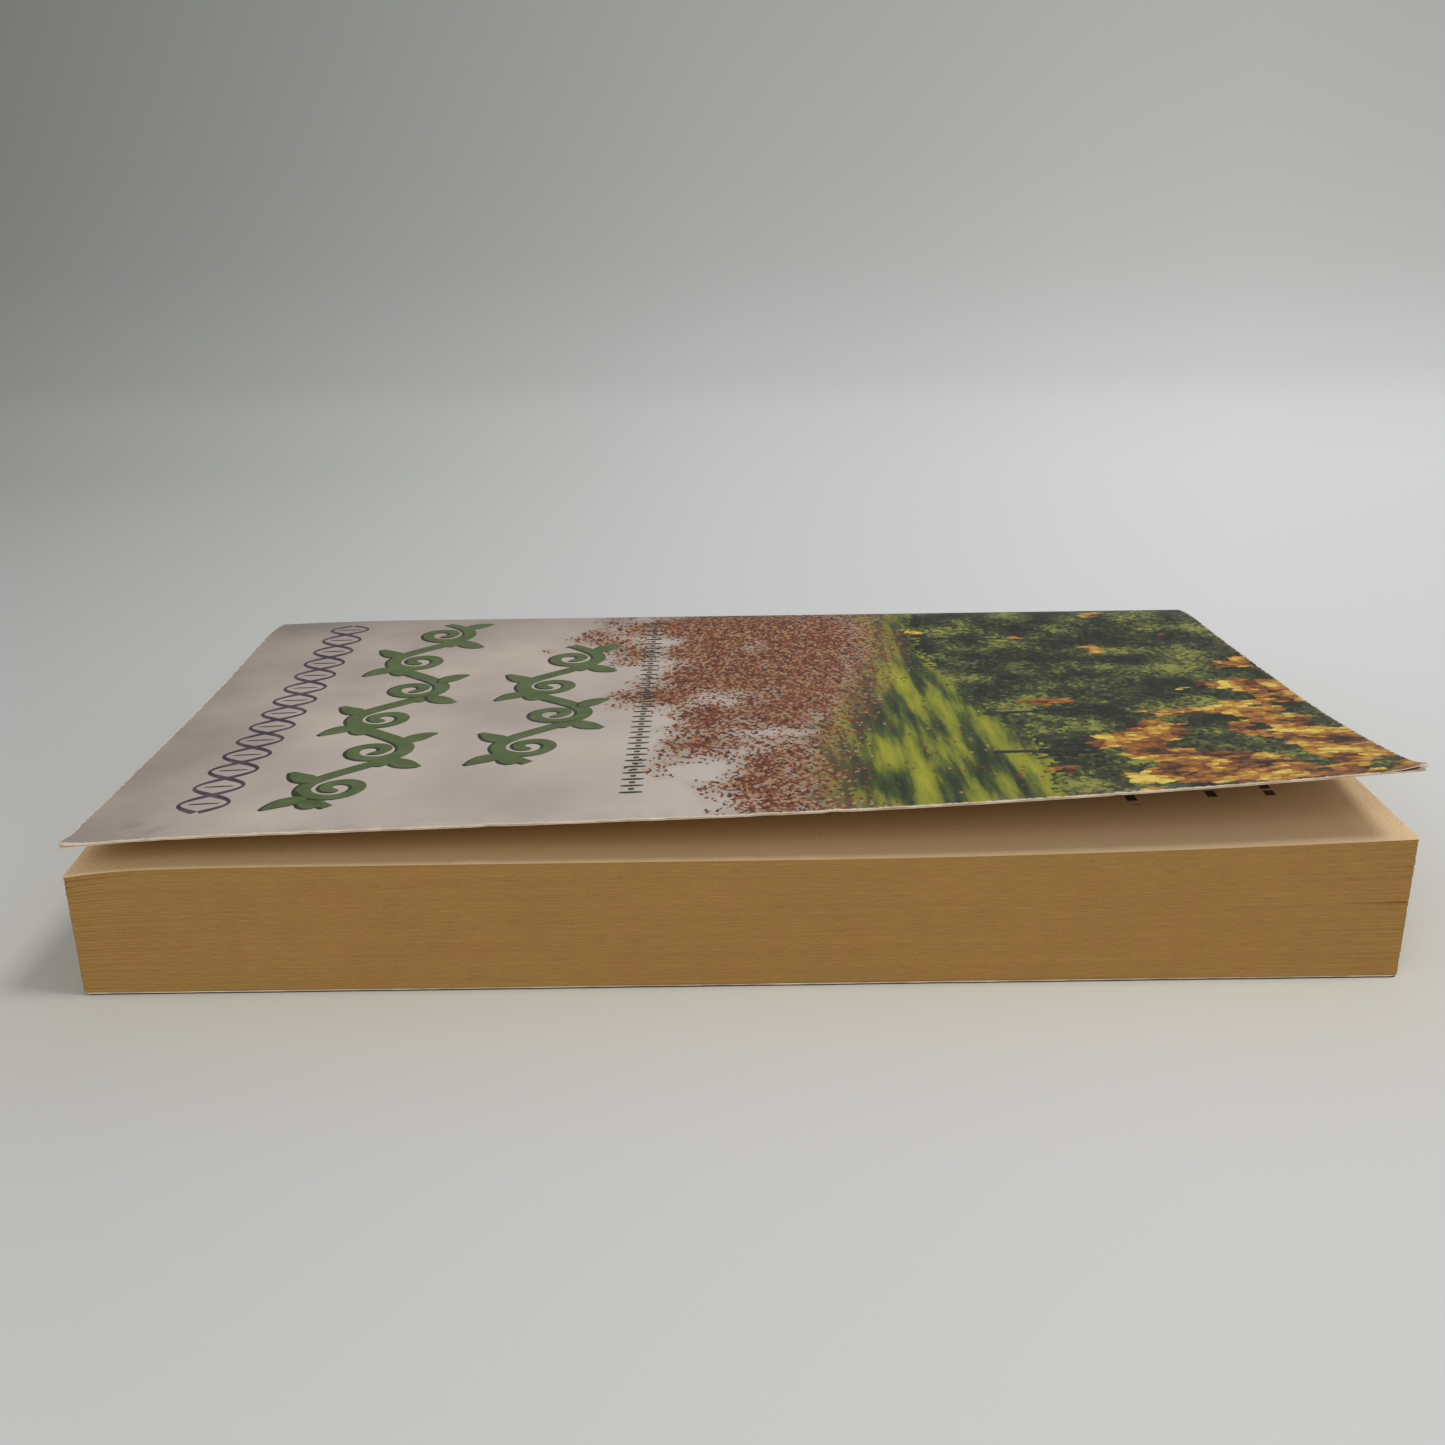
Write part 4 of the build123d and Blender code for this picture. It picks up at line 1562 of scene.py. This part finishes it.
@dataclass(frozen=True)
class HotMelt:
    """Film of hot-melt glue: yellowed, waxy and a little clouded."""

    clear: str = "#cdb988"
    clouded: str = "#b79d6a"
    cloud_mm: float = 1.5

    def build(self) -> Finish:
        """Make the material."""
        material, add = new_material("hot_melt_glue")
        place = add(Kind.COORDINATES).outputs["Object"]
        scale = 1 / (self.cloud_mm * MM)
        cloud = add(Kind.NOISE, {"Vector": place, "Scale": scale, "Detail": 3.0}, noise_dimensions="3D")
        colour = add(Kind.MIX, {"Factor": cloud, "A": self.clear, "B": self.clouded})
        coat(add, colour, 0.45, relief=(cloud, 0.3, 0.1))
        return material


@dataclass(frozen=True)
class Ink:
    """One printing ink in the ornament, under the same worn varnish as the rest."""

    name: str
    colour: str
    worn: str
    wear_mm: float = 3.0
    roughness: float = 0.42

    def build(self) -> Finish:
        """Make the material."""
        material, add = new_material(self.name)
        place = add(Kind.COORDINATES).outputs["Object"]
        scale = 1 / (self.wear_mm * MM)
        wear = add(Kind.NOISE, {"Vector": place, "Scale": scale, "Detail": 4.0}, noise_dimensions="3D")
        colour = lay_over(add, self.colour, self.worn, wear, 0.4, 0.75, 0.7)
        coat(add, colour, self.roughness, 0.16)
        return material


@dataclass(frozen=True)
class Finishes:
    """Every finish of the book, made once and shared by its pieces."""

    print: Finish = field(default_factory=PrintedBoard().build)
    inside: Finish = field(default_factory=BoardInside().build)
    edge: Finish = field(default_factory=BoardPulp().build)
    trimmed_edge: Finish = field(default_factory=TrimmedPulpEdge().build)
    page: Finish = field(default_factory=PulpPage().build)
    glue: Finish = field(default_factory=HotMelt().build)
    green_ink: Finish = field(default_factory=Ink("green_ink", "#505f38", "#66714e").build)
    outline_ink: Finish = field(default_factory=Ink("outline_ink", "#2c3026", "#4c4f46").build)
    purple_ink: Finish = field(default_factory=Ink("purple_ink", "#40333f", "#685a63").build)
    bark_ink: Finish = field(default_factory=Ink("bark_ink", "#221f1c", "#3a352f").build)


@dataclass(frozen=True)
class SeamlessPaper:
    """Pale seamless paper that sweeps up behind the book: matt, its painted shade greyer to the left and up
    the back.

    Its grey is painted shade: a tone by depth times a share by side. The side is told by the slope of the
    line from a point in front of the book, so the painted shading fans out with distance, and it fades out
    near the front. The shares are kept below white, and the tones are as much above the paper's own grey.
    Within a few centimetres of the book a faint yellow tint is painted on, as painted bounce light from the
    leaves.
    Places are in metres.
    """

    front: float = -0.15
    back: float = 0.95
    painted_shade_by_depth: Stops = (
        (0.0, "#dfdfde"), (0.07, "#dbdbda"), (0.2, "#e0e1e0"), (0.37, "#e5e6e5"), (0.5, "#e7e8e7"),
        (0.64, "#dedfde"), (0.78, "#cdcecc"), (0.87, "#c6c7c5"), (1.0, "#bfc0be"),
    )
    apex: float = 0.25
    nearest: float = 0.1
    steepest: float = 0.45
    # Painted shade by side: shares of the grey, darker to the left
    sides: Stops = (
        (0.0, "#b5b6b4"), (0.17, "#c7c8c6"), (0.29, "#d3d4d2"), (0.5, "#e7e7e7"),
        (0.62, "#eeeeee"), (0.74, "#f6f6f6"), (0.86, "#fafafa"), (1.0, "#f7f7f7"),
    )
    # Between these places across the book the painted shade by side sets in
    fade: Span = (-0.2, 0.28)
    level: str = "#e7e7e7"
    # Painted bounce light: a faint yellow tint in a box round the book, its half size, and how far it reaches
    painted_bounce_tint: str = "#fdfaf0"
    half: Span = (0.08, 0.05, 0.0)
    painted_bounce_reach: float = 0.045

    def build(self) -> Finish:
        """Make the material."""
        material, add = new_material("seamless_paper")
        place = add(Kind.COORDINATES).outputs["Object"]
        parts = add(Kind.SPLIT, (place,)).outputs
        # Painted shade: the grey by depth, times the grey by side
        depth = add(Kind.RANGE, (parts["Y"], self.front, self.back))
        tone = add(Kind.RAMP, (depth,), stops=self.painted_shade_by_depth)
        away = add(Kind.MATH, (parts["Y"], self.apex), operation="ADD")
        away = add(Kind.MATH, (away, self.nearest), operation="MAXIMUM")
        slope = add(Kind.MATH, (parts["X"], away), operation="DIVIDE")
        slope = add(Kind.RANGE, (slope, -self.steepest, self.steepest))
        side = add(Kind.RAMP, (slope,), stops=self.sides)
        share = lay_over(add, self.level, side, parts["Y"], *self.fade)
        colour = add(Kind.MIX, {"Factor": 1.0, "A": tone, "B": share}, blend_type="MULTIPLY")
        # Painted bounce light from the leaves: a tint that fades out away from the book
        beside = add(Kind.VECTOR, (place,), operation="ABSOLUTE")
        beyond = add(Kind.VECTOR, (beside, self.half), operation="SUBTRACT")
        outside = add(Kind.VECTOR, (beyond, (0.0, 0.0, 0.0)), operation="MAXIMUM")
        from_book = add(Kind.VECTOR, (outside,), operation="LENGTH")
        near = add(Kind.RANGE, (from_book, self.painted_bounce_reach, 0.0), interpolation_type="SMOOTHSTEP")
        colour = add(Kind.MIX, {"Factor": near, "A": colour, "B": self.painted_bounce_tint}, blend_type="MULTIPLY")
        coat(add, colour, 0.9, 0.2)
        return material


@dataclass
class Studio:
    """Camera at the photograph's place, soft lamps, and the sweep of pale paper, in metres."""

    frame_pixels: float = 1445.0
    focal_pixels: float = 1527.66
    place: Span = (-0.001728, -0.226503, 0.102965)
    yaw: float = -0.040
    pitch: float = 20.897
    roll: float = -0.803
    sensor: float = 36.0
    clip: Span = (0.005, 20.0)
    # For each lamp its name, place, side and power in watts
    lamps: tuple[tuple[str, Span, float, float], ...] = (
        ("key", (0.548, -0.104, 1.174), 0.28, 6.5),
        ("front", (-0.45, -1.25, 0.85), 1.1, 9.25),
    )
    # Light from all round
    surround: str = "#ffffff"
    surround_strength: float = 0.5
    # The sweep: its front edge, where it begins to rise, its radius, top, half width and rows
    front: float = -1.9
    back: float = 0.5
    radius: float = 0.6
    top: float = 2.2
    half: float = 2.5
    flat_rows: int = 24
    round_rows: int = 41
    columns: int = 12

    @staticmethod
    def hang(name: str, data: bpy.types.ID, axes: tuple[Array, Array, Array], place: Span) -> Piece:
        """Put a camera or a lamp into the scene, with its right, its up and the way to its back."""
        matrix = np.eye(4)
        matrix[:3] = np.stack([*axes, place], 1)
        made = bpy.data.objects.new(name, data)
        bpy.context.scene.collection.objects.link(made)
        made.matrix_world = Matrix(matrix.tolist())
        return made

    def camera(self) -> None:
        """Make the camera: it looks level, then turns by yaw, pitch down and roll."""
        data = bpy.data.cameras.new("camera")
        data.sensor_width = self.sensor
        data.lens = self.focal_pixels / self.frame_pixels * self.sensor
        data.clip_start, data.clip_end = self.clip
        yaw, pitch, roll = np.radians([self.yaw, self.pitch, self.roll])
        forward = np.array([np.sin(yaw) * np.cos(pitch), np.cos(yaw) * np.cos(pitch), -np.sin(pitch)])
        right = np.array([np.cos(yaw), -np.sin(yaw), 0.0])
        up = np.cross(right, forward)
        across = np.cos(roll) * right + np.sin(roll) * up
        upward = np.cos(roll) * up - np.sin(roll) * right
        bpy.context.scene.camera = self.hang("camera", data, (across, upward, -forward), self.place)

    def lamp(self, name: str, place: Span, size: float, power: float) -> None:
        """Hang one square soft lamp that faces the origin."""
        data = bpy.data.lights.new(name, "AREA")
        data.size, data.energy = size, power
        away = np.array(place)
        away /= np.linalg.norm(away)
        side = np.cross((0, 1, 0.01), away)
        side /= np.linalg.norm(side)
        self.hang(name, data, (side, np.cross(away, side), away), place).visible_camera = False

    def light(self) -> None:
        """Even light from all round, a small high lamp on the right, and a large one in front on the left."""
        world = bpy.data.worlds.new("studio")
        world.use_nodes = True
        background = world.node_tree.nodes["Background"]
        background.inputs["Color"].default_value = linear(self.surround)
        background.inputs["Strength"].default_value = self.surround_strength
        bpy.context.scene.world = world
        for lamp in self.lamps:
            self.lamp(*lamp)

    def sweep(self) -> None:
        """Lay the paper: a profile flat on the table, a quarter round, then straight up."""
        turn = np.linspace(0, np.pi / 2, self.round_rows)[1:]
        level, wall = np.linspace(self.front, self.back, self.flat_rows), self.back + self.radius
        y = np.concatenate([level, self.back + self.radius * np.sin(turn), [wall]])
        z = np.concatenate([np.zeros(self.flat_rows), self.radius * (1 - np.cos(turn)), [self.top]])
        x = np.linspace(-self.half, self.half, self.columns)
        points = np.stack(np.broadcast_arrays(x, y[:, None], z[:, None]), -1).reshape(-1, 3)
        floor = make_object("floor", points / MM, grid_faces(len(y), len(x)))
        floor.data.materials.append(SeamlessPaper().build())

    def build(self) -> None:
        """Set up camera, lamps and paper."""
        self.camera()
        self.light()
        self.sweep()
        bpy.context.scene.view_settings.view_transform = "Standard"


def report(piece: Piece) -> None:
    """Log a piece's faces and its box."""
    corners = np.array(piece.bound_box) / MM
    low, high = corners.min(0).round(2).tolist(), corners.max(0).round(2).tolist()
    LOG.info("%s: %d faces, from %s to %s mm", piece.name, len(piece.data.polygons), low, high)


def main() -> None:
    """Build the studio and the book, and report each piece."""
    logging.basicConfig(level=logging.INFO, format="%(name)s: %(message)s")
    Studio().build()
    form, dress = BookForm(), Finishes()
    card, thin_ply = CardShell(), CardShell(0.03, 0.03, 6)
    pieces = [
        Leaves(form).build(dress),
        FrontSheet(form).build(card, dress),
        BackSheet(form).build(card, dress),
        PeeledPly(form).build(thin_ply, dress),
        *Ornament(form).build(dress),
        TornFibres(form).build(dress),
    ]
    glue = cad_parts["spine_glue"]
    glue.data.materials.clear()
    glue.data.materials.append(dress.glue)
    for piece in pieces:
        report(piece)


if __name__ == "__main__":
    main()
